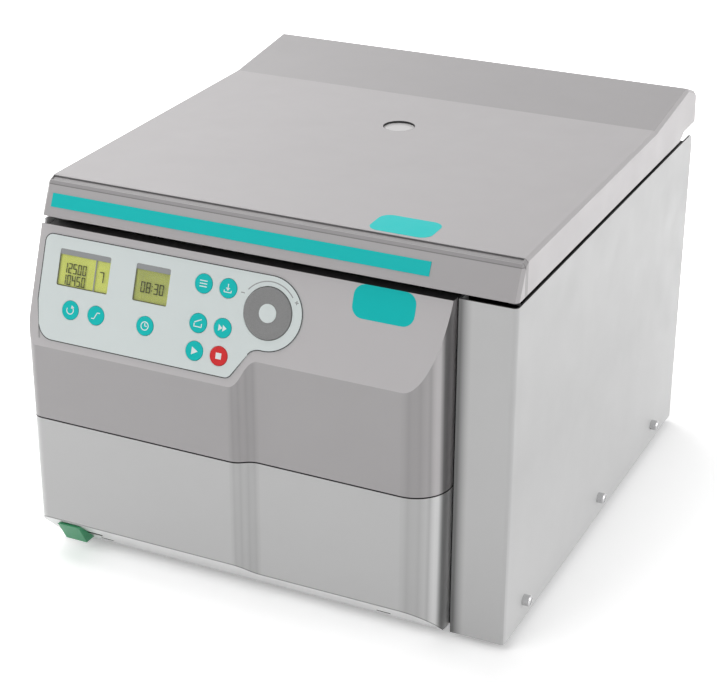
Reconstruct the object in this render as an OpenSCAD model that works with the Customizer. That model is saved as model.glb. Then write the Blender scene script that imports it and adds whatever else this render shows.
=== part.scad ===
// Bench centrifuge with a hinged lid, a sloping control console and a swing-out rotor.
// Inside placed(), x = 0 is the middle, y = 0 the face of the bare front column and z = 0 the
// underside of the cabinet. The finished model stands on z = 0 with its origin under its middle.

/* [Cabinet] */
// Width over the two side panels
cab_w = 400; // [396:1:440]
// Depth from the bare front column to the back of the side panels
cab_d = 430; // [428:1:450]
// Height of the side panels
cab_h = 282; // [278:1:300]
// Thickness of the sheet metal
sheet_t = 1.5; // [1:0.1:2]
// Radius of the bent corner of the front column
bend_r = 4; // [2.5:0.5:8]
// Radius of the top rear corner of each side panel
rear_corner_r = 8; // [4:1:10]
// Width of the bare column at the right of the front panels
column_w = 45; // [35:1:60]
// Height of the rubber feet
foot_h = 6; // [4:1:12]
// Diameter of the rubber feet
foot_d = 28; // [20:1:40]
// Distance of the feet from the cabinet's outer faces
foot_inset = 40; // [30:1:55]
// Height of the side screws above the cabinet's underside
screw_z = 19; // [14:1:24]
// Diameter of a side screw's head
screw_head_d = 9; // [7:0.5:12]
// Height of a side screw's head
screw_head_h = 6.5; // [4:0.5:8]

/* [Front panels] */
// How far the left section stands in front of the column
left_out = 30; // [26:1:36]
// How far the right section stands in front of the column
right_out = 22; // [16:1:24]
// How far the panels reach past the left side panel
side_over = 2; // [2:0.5:4]
// Wall of the moulded front panels
panel_t = 3; // [2:0.5:4]
// Depth of the recess behind the column's face in which the panels end
recess_d = 15; // [12:1:18]
// Gap between the panels and the column
column_gap = 5; // [3:0.5:8]
// Radius of the panels' left corner
wrap_r = 9; // [7:1:11]
// Radius of the panels' right corner
nose_r = 29; // [24:1:32]
// Radius of both bends of the step between the sections
step_r = 17; // [14:1:20]
// Distance from the panels' left side to the step between the sections
step_left = 182; // [172:1:186]
// Angle at which the console leans back
console_lean = 20; // [18:1:22]
// How far the console's top lies below the cabinet's top
console_drop = 4; // [3:1:8]
// How far the console's top lies behind the column's face
console_set = 3; // [1:0.5:5]
// Height of the joint between upper and lower panel
joint_z = 123; // [110:1:130]
// Width of that joint
joint_gap = 1.2; // [0.4:0.1:1.5]

/* [Console] */
// Thickness of the keypad foil
foil_t = 0.6; // [0.4:0.1:1]
// Distance from the console's top edge to the foil
foil_top = 6.3; // [5:0.5:8]
// Height of the foil's left part, along the slope
foil_h = 84; // [82:1:88]
// Distance from the panels' left side to the foil
foil_left = 5.8; // [5:0.2:8]
// Distance from the foil's left end to the dial's middle
dial_left = 201.5; // [199:0.5:204]
// Radius of the foil's round end about the dial
foil_end_r = 29; // [25:0.5:29]
// Diameter of a key
key_d = 15; // [12:0.5:16]
// Travel of a key
key_travel = 0.4; // [0.2:0.1:0.6]
// Height of a key over the foil
key_proud = 0.5; // [0.3:0.1:1]
// Diameter of the dial
dial_d = 40; // [34:1:44]
// Thickness of the dial
dial_h = 4; // [3:0.5:6]
// Height of the dial over the foil
dial_proud = 0.8; // [0.3:0.1:2]
// Diameter of the pale cap in the dial
dial_cap_d = 14.4; // [12:0.2:20]
// Height of both displays, along the slope
display_h = 29.2; // [26:0.2:30]
// Width of the speed display
speed_display_w = 46.5; // [40:0.5:50]
// Width of the time display
time_display_w = 30.5; // [26:0.5:34]
// Distance from the console's face to the control board
board_depth = 16; // [15:0.5:18]

/* [Lid] */
// Gap between cabinet and lid
lid_gap = 4; // [3:0.5:6]
// Wall of the lid's shell
lid_t = 3; // [2:0.5:4]
// Height of the lid's front face
lid_front_h = 25.6; // [22:0.2:30]
// How far the lid's front face leans back over its height
lid_front_set = 12; // [8:0.5:16]
// Height of the lid's front edge over its underside
lid_edge_h = 28.6; // [26:0.2:33]
// Distance of the lid's front edge from the column's face
lid_edge_y = 18.6; // [16:0.2:24]
// Distance of the crease from the column's face
crease_y = 317.5; // [300:0.5:330]
// Height of the crease over the lid's underside
crease_h = 31.5; // [29:0.5:36]
// Distance of the ridge from the column's face
ridge_y = 408; // [400:1:412]
// Height of the ridge over the lid's underside
ridge_h = 42.8; // [38:0.2:50]
// How far the lid reaches past the cabinet's back
lid_back_over = 7; // [5:0.5:10]
// Width of the bevel along the lid's sides
lid_bevel = 2.5; // [1.5:0.5:3.5]
// Height of the coloured stripe
stripe_h = 10.9; // [8:0.1:13]
// Height of the stripe over the lid's lower edge, along the slope
stripe_z = 7.8; // [5:0.1:9]
// Length of the stripe
stripe_l = 322.5; // [250:0.5:340]
// Thickness of the stripe
stripe_t = 0.4; // [0.3:0.1:0.6]
// Diameter of the sight port in the lid
port_d = 26.4; // [20:0.2:34]
// Depth of the port's window below the lid's surface
port_recess = 1.5; // [1:0.1:2.5]

/* [Hinges and gas struts] */
// Depth of the space for the hinges at the rear
trough_d = 20.5; // [20:0.5:24]
// Distance of the hinge line from the cabinet's back
hinge_back = 11; // [10.5:0.5:12]
// Depth of the hinge line below the cabinet's top
hinge_drop = 3; // [2:0.5:4]
// Distance of each hinge from the cabinet's side
hinge_side = 70; // [60:1:90]
// Diameter of a hinge pin
hinge_pin_d = 8; // [6:0.5:8]
// Length of a hinge barrel
barrel_l = 25; // [20:1:30]
// Distance of the gas struts from the side panels' inner faces
strut_side = 20.5; // [19.5:0.5:21.5]
// Diameter of a strut's cylinder
strut_d = 15; // [12:1:15]
// Diameter of a strut's rod
rod_d = 6; // [5:0.5:8]
// Distance of the strut's foot from the cabinet's back
strut_foot_back = 40; // [38:1:44]
// Height of the strut's foot
strut_foot_z = 115; // [110:1:120]
// Distance of the strut's upper end from the cabinet's back
strut_head_back = 70; // [68:1:76]
// Depth of the strut's upper end below the cabinet's top
strut_head_drop = 10; // [9:0.5:12]

/* [Chamber] */
// Distance from the column's face to the bowl's flange, which leaves room for the lock
chamber_front = 69.8; // [68:0.2:78]
// Depth of the bowl below the deck
bowl_depth = 151; // [148:1:156]
// Radius of the bowl's bottom corner
bowl_corner_r = 20; // [12:1:28]
// Wall of the bowl
bowl_t = 1.2; // [0.8:0.1:1.6]
// Width of the bowl's flange
flange_w = 9; // [8:0.5:10]
// Wall of the guard ring
guard_t = 7; // [5:0.5:7]
// Clear space between bowl and guard ring
guard_gap = 1.8; // [1:0.1:2]
// Space between the guard ring's top and the deck
guard_drop = 9; // [6:0.5:30]

/* [Drive and rotor] */
// Diameter of the motor
motor_d = 120; // [100:1:130]
// Height of the motor's underside
motor_z = 14; // [10:1:18]
// Diameter of the drive shaft
shaft_d = 16; // [12:1:20]
// Height of the buckets' pins over the bowl's floor
pin_over_floor = 82; // [80:1:88]
// Radius at which the buckets hang
pin_circle_r = 76; // [74:0.5:78]
// Diameter of a bucket pin
bucket_pin_d = 7; // [5:0.5:8]
// Outer diameter of a bucket
bucket_d = 72; // [60:1:74]
// Wall of a bucket
bucket_t = 3; // [2:0.5:4]
// Length of a bucket below its pins
bucket_drop = 72; // [60:1:74]
// Height of a bucket over its pins
bucket_rise = 14; // [13:0.5:16]
// Radius of the rotor
rotor_r = 104; // [98:1:116]
// Thickness of the rotor's arms
rotor_t = 16; // [13:1:20]

/* [Lock and release] */
// Travel of the latch bar
latch_travel = 8; // [7:0.5:10]
// Distance of each striker from the cabinet's side
striker_side = 80; // [70:1:100]
// Distance of the strikers from the column's face
striker_y = 40; // [36:1:44]
// Width of the release tab
tab_w = 20; // [14:1:24]
// Distance from the panels' left side to the release tab's middle
tab_left = 28; // [24:1:30]
// How far the release tab pulls out
tab_travel = 20; // [10:1:25]

/* [Rear] */
// Length of a vent slot
vent_l = 60; // [40:1:70]
// Width of a vent slot
vent_w = 4; // [3:0.5:6]
// Slots in each of the two vents
vent_count = 12; // [6:1:14]
// Distance of the mains inlet from the cabinet's side
inlet_side = 70; // [60:1:90]
// Distance of each vent's middle from the cabinet's side
vent_side = 105; // [95:1:115]
// Height of the mains inlet's middle
inlet_z = 45; // [40:1:60]

/* [Hidden] */
$fn = 64;

// Clearances and small fixed sizes
slack = 0.1;
running = 0.05;
free = 0.3;
big = 600;
screw_r = 2.5;
small_gap = 0.02;
half_w = cab_w / 2;
inner_x = half_w - sheet_t;
hinge_x = half_w - hinge_side;
strut_x = inner_x - strut_side;
striker_x = half_w - striker_side;
inlet_x = half_w - inlet_side;

// Levels, from the cabinet's underside
floor_z = sheet_t;
deck_t = 2;
deck_top = cab_h - 1;
deck_z = deck_top - deck_t;
shelf_w = 12;
lid_z = cab_h + lid_gap;
lid_back = cab_d + lid_back_over;
front_y = (left_out - lid_back) / 2;

// Inner structure
frame_y = recess_d;
deck_y = frame_y + sheet_t + slack;
deck_back = cab_d - trough_d - sheet_t;
rear_y = cab_d - 2 * sheet_t;
base_back = rear_y - slack;
chamber_back = deck_back - 1.8;
flange_r = (chamber_back - chamber_front) / 2;
bowl_r = flange_r - bowl_t - flange_w;
rotor_y = chamber_back - flange_r;
screw_ys = [40, rotor_y - 20, cab_d - 62];
base_flange_h = 32;

// Front panels
panel_left = -half_w - side_over;
panel_right = half_w - column_w - column_gap;
step_x = panel_left + step_left;
tab_x = panel_left + tab_left;
step_drop = left_out - right_out;
step_a = acos(1 - step_drop / 2 / step_r);
step_end = step_x + 2 * step_r * sin(step_a);
step_mid_x = step_x + step_r * sin(step_a);
step_mid_y = -(left_out + right_out) / 2;
console_top = cab_h - console_drop;
undercut_a = 45;

// Console places, as [across, down the slope]
foil_x = panel_left + foil_left;
dial_at = [foil_x + dial_left, foil_top + foil_end_r];
key_rows = [22.5, 53, 74.5];
key_cols = [dial_at[0] - 56.8, dial_at[0] - 35.6];
lone_row = 63.6;
speed_key_at = [foil_x + 31.2, lone_row];
ramp_key_at = [foil_x + 54.7, lone_row];
time_key_at = [foil_x + 99.2, lone_row];
dial_gap = 0.5;
dial_low = foil_t + dial_proud - dial_h;
display_top = 16.7;
speed_display_x = foil_x + 15.2;
time_display_x = foil_x + 84.7;
display_hole_r = 1.5;
window_t = 1;
display_face = foil_t / 2 - window_t;
board_t = 1.6;
board_left = foil_x + 12;
board_right = dial_at[0] + 31;
board_top = 10;
board_h = 80;
boss_r = 3.5;
bosses = [[foil_x + 73, 20], [board_left + 5, 84], [board_right - 6, 14], [key_cols[0] - 14, 84]];
encoder_h = 8;
stem_r = 3;

// Hinge and struts
hinge_y = cab_d - hinge_back;
hinge_z = cab_h - hinge_drop;
barrel_r = 6.5;
ear_t = 3;
ear_r = 7.5;
strut_foot = [cab_d - strut_foot_back, strut_foot_z];
strut_head = [cab_d - strut_head_back, cab_h - strut_head_drop];
strut_run = strut_head - strut_foot;
strut_l = norm(strut_run);
strut_a = atan2(strut_run[0], strut_run[1]);
strut_eye_r = 6;
strut_eye_t = 6;
strut_pin_r = 4;
cylinder_l = strut_l - 38;
piston_z = 44;
strut_bore = strut_d - 3;
strut_slot = [15, 60];

// Lid
lid_inner_x = half_w - lid_t;
liner_t = 2;
liner_z = lid_z + 0.3;
skirt_end = cab_d - 39;
rear_lift = 5.7;
rear_lift_y = cab_d - 28;
front_slope = atan2(lid_front_h, lid_front_set);
lid_crease = 3;
lid_heel = 7;

// Chamber and drive
bowl_floor = deck_top - bowl_depth;
seal_h = liner_z - deck_top - bowl_t - free;
pin_z = bowl_floor + pin_over_floor;
shaft_r = shaft_d / 2;
bearing_r = shaft_r + 8;
bearing_h = 10;
guard_h = deck_z - guard_drop - floor_z;
motor_h = bowl_floor - 18 - motor_z;
motor_top = motor_z + motor_h;
plate_z = motor_z + 40;
plate_t = 5;
mount_circle_r = 82;
hub_r = 30;
hub_h = 30;
slot_r = bucket_d / 2 + 5.5;
slot_half = slot_r - 0.5;
bucket_pad_r = 9;
pad_reach = bucket_d / 2 + 3;
nut_r = 17;
nut_h = 22;
stud_r = 5;
stud_h = 14;

// Lock
latch_z = deck_z - 14;
latch_y = striker_y + 15;
latch_w = 6;
latch_h = 8;
latch_nose_r = 3;
striker_t = 3;
striker_drop = 27;
lock_l = 90;

// Colours
metal_grey = [0.72, 0.71, 0.71];
pale_grey = [0.76, 0.76, 0.76];
mid_grey = [0.62, 0.61, 0.61];
teal = [0.2, 0.71, 0.7];
steel = [0.75, 0.76, 0.77];
dark = [0.15, 0.15, 0.16];

// Puts a piece drawn in the cabinet's frame into the model's frame
module placed() {
  translate([0, front_y, foot_h]) children();
}

// The region between a corner and a circle that touches both of its sides
module corner_web(p, a1, a2, r) {
  half = (a2 - a1) / 2;
  reach = r / tan(half);
  mid = (a1 + a2) / 2;
  c = p + r / sin(half) * [cos(mid), sin(mid)];
  difference() {
    polygon([p, p + reach * [cos(a1), sin(a1)], c, p + reach * [cos(a2), sin(a2)]]);
    translate(c) circle(r);
  }
}

// A rectangle from its lower left corner, with all its corners rounded
module round_rect(w, h, r) {
  difference() {
    square([w, h]);
    corner_web([0, 0], 0, 90, r);
    corner_web([w, 0], 90, 180, r);
    corner_web([w, h], 180, 270, r);
    corner_web([0, h], 270, 360, r);
  }
}

// A slot with round ends, centred, along x
module slot_2d(l, w) {
  square([l - w, w], center = true);
  for (s = [-1, 1]) translate([s * (l - w) / 2, 0]) circle(w / 2);
}

// Extrudes a side view drawn as [y, z] across x
module across(x0, x1) {
  translate([x0, 0, 0]) rotate([90, 0, 90]) linear_extrude(x1 - x0) children();
}

// Lays a shape on the console: x across, y up the slope, z out of the face
module on_console(at = [0, 0]) {
  translate([
    at[0],
    console_set - at[1] * sin(console_lean),
    console_top - at[1] * cos(console_lean)
  ])
    rotate([90 - console_lean, 0, 0]) children();
}

// Copies a right-hand piece to both sides
module both_sides() {
  children();
  mirror([1, 0, 0]) children();
}

// Plan of the front panels, drawn inwards by t
module panel_plan(t, back) {
  difference() {
    intersection() {
      union() {
        translate([panel_left + wrap_r, -left_out + t])
          square([step_x - panel_left - wrap_r, left_out + back]);
        translate([panel_left + wrap_r, -left_out + wrap_r]) circle(wrap_r - t);
        translate([panel_left + t, -left_out + wrap_r]) square([wrap_r, left_out + back]);
        translate([step_x, -left_out + step_r]) circle(step_r - t);
        translate([step_x, step_mid_y + t * cos(step_a)])
          square([step_end - step_x, left_out + back]);
        translate([step_end, -right_out + t])
          square([panel_right - nose_r - step_end, right_out + back]);
        translate([panel_right - nose_r, -right_out + nose_r]) circle(nose_r - t);
        translate([panel_right - nose_r, -right_out + nose_r])
          square([nose_r - t, right_out + back]);
      }
      translate([-big / 2, -big / 2]) square([big, big / 2 + back]);
    }
    translate([step_end, -right_out - step_r]) circle(step_r + t);
  }
}

// Everything behind the console's face and the undercut, moved inwards by t
module behind_face(t) {
  difference() {
    children();
    on_console() translate([-big / 2, -big / 2, -t]) cube([big, big, big]);
    rotate([-undercut_a, 0, 0]) translate([-big / 2, -big, -big + t]) cube([big, 2 * big, big]);
  }
}

// The moulded front before it is divided: a shell open at the back
module front_moulding() {
  left_back = sheet_t + 2;
  difference() {
    behind_face(0) linear_extrude(console_top) panel_plan(0, recess_d);
    behind_face(panel_t)
      translate([0, 0, -1]) linear_extrude(console_top - panel_t + 1) panel_plan(panel_t, recess_d + 1);
    translate([panel_left - 1, left_back, -1]) cube([side_over + 5, recess_d, cab_h]);
  }
}

module key_hole(at, r) {
  on_console(at) translate([0, 0, -board_depth + 4]) cylinder(r = r, h = board_depth);
}

function key_at(col, row) = [key_cols[col], key_rows[row]];
all_keys = [
  speed_key_at, ramp_key_at, time_key_at, key_at(0, 0), key_at(1, 0), key_at(0, 1),
  key_at(1, 1), key_at(0, 2), key_at(1, 2)
];

module display_hole(x, w, z0, h, grow = 0) {
  on_console([x, display_top + display_h]) translate([-grow, -grow, z0])
    linear_extrude(h) round_rect(w + 2 * grow, display_h + 2 * grow, display_hole_r);
}

// Upper front panel with the sloping console
module console_panel() {
  color(metal_grey) placed() difference() {
    union() {
      intersection() {
        front_moulding();
        translate([-big / 2, -big / 2, joint_z + joint_gap / 2]) cube([big, big, big]);
      }
      for (b = bosses) on_console(b)
        translate([0, 0, -board_depth]) cylinder(r = boss_r, h = board_depth - panel_t / 2);
    }
    for (k = all_keys) key_hole(k, key_d / 2 + free);
    key_hole(dial_at, dial_d / 2 + dial_gap);
    display_hole(speed_display_x, speed_display_w, -panel_t - 2, panel_t + 4);
    display_hole(time_display_x, time_display_w, -panel_t - 2, panel_t + 4);
  }
}

// Lower front panel with the slit for the release tab and two tool slots in its undercut
module lower_panel() {
  slit_l = tab_w + 24;
  slit_h = 3.4;
  tool_slot = [12, 8, 2];
  slot_in = [51, 48];
  slot_z = 7;
  color(pale_grey) placed() difference() {
    intersection() {
      front_moulding();
      translate([-big / 2, -big / 2, 0]) cube([big, big, joint_z - joint_gap / 2]);
    }
    translate([tab_x - slit_l / 2 + 1, -left_out, strap_z - slit_h / 2])
      cube([slit_l, left_out, slit_h]);
    for (x = [panel_left + slot_in[0], panel_right - slot_in[1]])
      translate([x - tool_slot[0] / 2, -slot_z - 5, slot_z]) cube(tool_slot);
  }
}

// Outline of the keypad foil, in console coordinates with y up
module foil_plan() {
  low = -foil_top - foil_h;
  end = dial_at[0];
  end_low = -foil_top - 2 * foil_end_r;
  turn_a = 122;
  kink = [foil_x, -foil_top - 53.4];
  slant = 100.8;
  left_foot = [kink[0] + (low - kink[1]) / tan(slant), low];
  turn = [end - 8.8, end_low];
  foot_corner = turn + (low - end_low) / sin(turn_a) * [-cos(turn_a), sin(turn_a)];
  difference() {
    union() {
      polygon([
        [foil_x, -foil_top], kink, left_foot, [foot_corner[0], low],
        [foot_corner[0], -foil_top]
      ]);
      polygon([
        [foot_corner[0] - 1, low], foot_corner, turn, [turn[0], -foil_top],
        [foot_corner[0] - 1, -foil_top]
      ]);
      translate([turn[0] - 1, end_low]) square([end - turn[0] + 1, 2 * foil_end_r]);
      translate([end, -dial_at[1]]) circle(foil_end_r);
      corner_web(turn, -turn_a, 0, 12);
    }
    corner_web(left_foot, 0, slant, 14);
    corner_web([foil_x, -foil_top], 270, 360, 7);
    corner_web(foot_corner, 180 - turn_a, 180, 7);
  }
}

module keypad_foil() {
  color([0.83, 0.87, 0.86]) placed() difference() {
    on_console() linear_extrude(foil_t) foil_plan();
    for (k = all_keys) key_hole(k, key_d / 2 + free);
    key_hole(dial_at, dial_d / 2 + dial_gap);
    display_hole(speed_display_x, speed_display_w, -1, 4);
    display_hole(time_display_x, time_display_w, -1, 4);
  }
}

// A key cap on its stem, which ends just short of the switch on the board
module key_piece(at) {
  cap_r = key_d / 2;
  crown = 0.4;
  top = foil_t + key_proud;
  placed() on_console(at) {
    translate([0, 0, -1.2]) cylinder(r = cap_r, h = top + 1.2 - crown);
    translate([0, 0, top - crown]) cylinder(r1 = cap_r, r2 = cap_r - crown, h = crown);
    translate([0, 0, key_travel + slack - board_depth])
      cylinder(r = stem_r, h = board_depth - key_travel - slack - 1);
  }
}

module key_speed() { color(teal) key_piece(speed_key_at); }
module key_ramp() { color(teal) key_piece(ramp_key_at); }
module key_time() { color(teal) key_piece(time_key_at); }
module key_program() { color(teal) key_piece(key_at(0, 0)); }
module key_save() { color(teal) key_piece(key_at(1, 0)); }
module key_lid() { color(teal) key_piece(key_at(0, 1)); }
module key_pulse() { color(teal) key_piece(key_at(1, 1)); }
module key_start() { color(teal) key_piece(key_at(0, 2)); }
module key_stop() { color([0.82, 0.25, 0.26]) key_piece(key_at(1, 2)); }

// Turning ring with a shallow dish and the stem that enters the encoder
module dial_knob() {
  dish = 0.7;
  edge = 0.5;
  cap_seat = 1;
  stem_low = 4 - board_depth;
  color([0.49, 0.49, 0.49]) placed() on_console(dial_at) {
    difference() {
      union() {
        translate([0, 0, dial_low]) cylinder(d = dial_d, h = dial_h - edge);
        translate([0, 0, dial_low + dial_h - edge])
          cylinder(d1 = dial_d, d2 = dial_d - 2 * edge, h = edge);
      }
      translate([0, 0, dial_low + dial_h - dish])
        cylinder(d1 = dial_cap_d + 2, d2 = dial_d - 8, h = dish + small_gap);
      translate([0, 0, dial_low + dial_h - dish - cap_seat])
        cylinder(d = dial_cap_d + slack, h = dish + 2 * cap_seat);
    }
    translate([0, 0, stem_low]) cylinder(r = stem_r, h = dial_low + 1 - stem_low);
  }
}

module dial_cap() {
  color([0.85, 0.87, 0.87]) placed() on_console(dial_at)
    translate([0, 0, foil_t + dial_proud - 1.7]) cylinder(d = dial_cap_d, h = 1.3);
}

// Encoder soldered to the board, with a bushing for the dial's stem
module dial_encoder() {
  body = 14;
  bush_r = 5;
  bush_low = encoder_h - board_depth - 1;
  color(dark) placed() on_console(dial_at) difference() {
    union() {
      translate([-body / 2, -body / 2, -board_depth]) cube([body, body, encoder_h]);
      translate([0, 0, bush_low]) cylinder(r = bush_r, h = dial_low - free - bush_low);
    }
    translate([0, 0, 3.5 - board_depth]) cylinder(r = stem_r + running, h = board_depth);
  }
}

module display_windows() {
  color([0.9, 0.92, 0.85, 0.5]) placed() {
    display_hole(speed_display_x, speed_display_w, display_face, window_t, -slack);
    display_hole(time_display_x, time_display_w, display_face, window_t, -slack);
  }
}

// A display module: a block that stands on the board, with its glass just below the window
module display_piece(x, w) {
  rim = 2;
  placed() {
    on_console([x - rim, display_top + display_h + rim]) translate([0, 0, -board_depth])
      cube([w + 2 * rim, display_h + 2 * rim, board_depth - panel_t]);
    display_hole(x, w, -panel_t - 1, panel_t + 1 + display_face, -free);
  }
}

module speed_display() { color([0.72, 0.74, 0.33]) display_piece(speed_display_x, speed_display_w); }
module time_display() { color([0.72, 0.74, 0.33]) display_piece(time_display_x, time_display_w); }

// Circuit board behind the console, with its chips on the far side
module control_board() {
  chips = [[34, 30, 16], [74, 66, 12], [124, 36, 20], [164, 70, 10]];
  chip_h = 2.5;
  color([0.1, 0.4, 0.2]) placed() {
    on_console() translate([board_left, -board_top - board_h, -board_depth - board_t])
      cube([board_right - board_left, board_h, board_t]);
    for (c = chips) on_console([board_left + c[0], c[1]])
      translate([-c[2] / 2, -c[2] / 2, -board_depth - board_t - chip_h])
        cube([c[2], c[2], chip_h + board_t / 2]);
  }
}

// Floor of the cabinet with upturned flanges for the side screws
module base_pan() {
  intake_r = 30;
  color(mid_grey) placed() difference() {
    union() {
      translate([-inner_x + slack, deck_y, 0])
        cube([2 * (inner_x - slack), base_back - deck_y, sheet_t]);
      both_sides() translate([inner_x - slack - sheet_t, deck_y, 0])
        cube([sheet_t, base_back - deck_y, base_flange_h]);
      translate([-inner_x + slack, base_back - sheet_t, 0])
        cube([2 * (inner_x - slack), sheet_t, base_flange_h / 2]);
    }
    both_sides() for (y = screw_ys) translate([inner_x - 5, y, screw_z]) rotate([0, 90, 0])
      cylinder(r = screw_r + slack, h = 10);
    translate([0, rotor_y, -1]) cylinder(r = intake_r, h = sheet_t + 2);
  }
}

// Flat of a side panel from start_y to the back, with its rounded top rear corner
module side_flat(start_y) {
  across(inner_x, half_w) difference() {
    translate([start_y, 0]) square([cab_d - start_y, cab_h]);
    corner_web([cab_d, cab_h], 180, 270, rear_corner_r);
  }
}

// What both side panels share: shelf for the deck, rear return and the strut's stud
module side_fittings() {
  translate([inner_x - shelf_w, deck_y, deck_z - sheet_t])
    cube([shelf_w, deck_back - deck_y, sheet_t]);
  translate([inner_x - shelf_w, cab_d - sheet_t, 0])
    cube([shelf_w, sheet_t, cab_h - rear_corner_r - 2]);
  translate([strut_x - strut_eye_t / 2, strut_foot[0], strut_foot[1]]) rotate([0, 90, 0])
    cylinder(r = strut_pin_r, h = inner_x - strut_x + strut_eye_t / 2);
  translate([inner_x - 2, strut_foot[0], strut_foot[1]]) rotate([0, 90, 0]) cylinder(r = 9, h = 2);
}

module screw_holes() {
  for (y = screw_ys) translate([inner_x - 1, y, screw_z]) rotate([0, 90, 0])
    cylinder(r = screw_r + slack, h = sheet_t + 2);
}

// Right side panel, bent round the corner into the bare front column
module side_panel_right() {
  column_x = half_w - column_w;
  color(steel) placed() difference() {
    union() {
      side_flat(bend_r);
      linear_extrude(cab_h) translate([half_w - bend_r, bend_r]) intersection() {
        difference() {
          circle(bend_r);
          circle(bend_r - sheet_t);
        }
        translate([0, -bend_r]) square([bend_r, bend_r]);
      }
      translate([column_x, 0, 0]) cube([column_w - bend_r, sheet_t, cab_h]);
      translate([column_x, 0, 0]) cube([sheet_t, frame_y, cab_h]);
      side_fittings();
    }
    screw_holes();
  }
}

// Left side panel, with its front edge behind the front panels
module side_panel_left() {
  color(steel) placed() mirror([1, 0, 0]) difference() {
    union() {
      side_flat(sheet_t + 2.5);
      translate([inner_x - shelf_w, frame_y - sheet_t, 0]) cube([shelf_w, sheet_t, cab_h - 10]);
      side_fittings();
    }
    screw_holes();
  }
}

// Rear panel with two vents and the cut-out for the mains inlet
module rear_panel() {
  pitch = 2 * vent_w;
  top = hinge_z - barrel_r - 1;
  vent_z = 100;
  color(mid_grey) placed() difference() {
    translate([-inner_x + slack, rear_y, floor_z])
      cube([2 * (inner_x - slack), sheet_t, top - floor_z]);
    for (s = [-1, 1], i = [0 : vent_count - 1])
      translate([s * (half_w - vent_side), rear_y - 1, vent_z + i * pitch]) rotate([-90, 0, 0])
        linear_extrude(sheet_t + 2) slot_2d(vent_l, vent_w);
    translate([inlet_x - entry_body[0] / 2, rear_y - 1, inlet_z - entry_body[1] / 2])
      cube([entry_body[0], sheet_t + 2, entry_body[1]]);
  }
}

// Upright plate behind the front panels, open where the console's electronics reach in
module front_frame() {
  top_gap = 6;
  window = [[panel_left + 10, 155], [panel_right - 4, cab_h - 14]];
  color(mid_grey) placed() difference() {
    translate([-inner_x + slack, frame_y, floor_z])
      cube([2 * (inner_x - slack), sheet_t, cab_h - top_gap - floor_z]);
    translate([window[0][0], frame_y - 1, window[0][1]])
      cube([window[1][0] - window[0][0], sheet_t + 2, window[1][1] - window[0][1]]);
    translate([tab_x - tab_w / 2, frame_y - 1, strap_z - strap_t / 2 - free])
      cube([tab_w, sheet_t + 2, strap_t + 2 * free]);
  }
}

// Deck round the chamber's mouth
module top_deck() {
  flange_drop = 26;
  color(pale_grey) placed() difference() {
    union() {
      translate([-inner_x + slack, deck_y, deck_z])
        cube([2 * (inner_x - slack), deck_back - deck_y, deck_t]);
      translate([-inner_x + shelf_w + slack, deck_back - sheet_t, deck_z - flange_drop])
        cube([2 * (inner_x - shelf_w - slack), sheet_t, flange_drop + 1]);
    }
    translate([0, rotor_y, deck_z - 1]) cylinder(r = bowl_r + bowl_t + free, h = deck_t + 2);
    both_sides() {
      translate([strut_x, strut_head[0] + 12, deck_z - 1]) rotate([0, 0, 90])
        linear_extrude(deck_t + 2) slot_2d(strut_slot[1], strut_slot[0]);
      translate([striker_x - 6, striker_y - 11, deck_z - 1]) cube([12, 22, deck_t + 2]);
    }
  }
}

// Pressed bowl: flange on the deck, rounded floor and the hole for the shaft seal
module chamber_bowl() {
  top = deck_top - bowl_floor;
  hole_r = 22;
  color(steel) placed() translate([0, rotor_y, bowl_floor]) rotate_extrude($fn = 128)
    difference() {
      union() {
        difference() {
          translate([0, -bowl_t]) square([bowl_r + bowl_t, top + bowl_t]);
          corner_web([bowl_r + bowl_t, -bowl_t], 90, 180, bowl_corner_r + bowl_t);
        }
        translate([bowl_r, top]) square([bowl_t + flange_w, bowl_t]);
      }
      difference() {
        square([bowl_r, top + 1]);
        corner_web([bowl_r, 0], 90, 180, bowl_corner_r);
      }
      translate([0, top]) square([bowl_r, 3]);
      translate([0, -5]) square([hole_r, 10]);
    }
}

// Rubber seal on the bowl's flange, with a rounded lip
module chamber_seal() {
  w = flange_w - 3;
  color(dark) placed() translate([0, rotor_y, deck_top + bowl_t]) rotate_extrude($fn = 128)
    translate([bowl_r + bowl_t + 1, 0]) difference() {
      square([w, seal_h]);
      corner_web([0, seal_h], 270, 360, 1.5);
      corner_web([w, seal_h], 180, 270, 1.5);
    }
}

module guard_ring() {
  r = bowl_r + bowl_t + guard_gap;
  color(mid_grey) placed() translate([0, rotor_y, floor_z]) difference() {
    cylinder(r = r + guard_t, h = guard_h, $fn = 128);
    translate([0, 0, -1]) cylinder(r = r, h = guard_h + 2, $fn = 128);
  }
}

// Finned motor body with a flange that hangs on the motor plate
module motor_housing() {
  r = motor_d / 2;
  groove = 2.5;
  groove_pitch = 6;
  color(mid_grey) placed() translate([0, rotor_y, 0]) difference() {
    union() {
      translate([0, 0, motor_z]) cylinder(r = r, h = motor_h);
      translate([0, 0, plate_z + plate_t]) cylinder(r = r + 12, h = 6);
    }
    for (i = [0 : 4]) translate([0, 0, plate_z - 8 - i * groove_pitch]) difference() {
      cylinder(r = r + 1, h = groove);
      translate([0, 0, -1]) cylinder(r = r - 4, h = groove + 2);
    }
    translate([0, 0, motor_z + 6]) cylinder(r = bearing_r - 2, h = motor_h);
    for (z = bearing_zs) translate([0, 0, z]) cylinder(r = bearing_r, h = bearing_h);
    translate([0, 0, motor_top - bearing_h]) cylinder(r = bearing_r, h = bearing_h + 1);
  }
}

bearing_zs = [motor_z + 12, motor_top - bearing_h];

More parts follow.
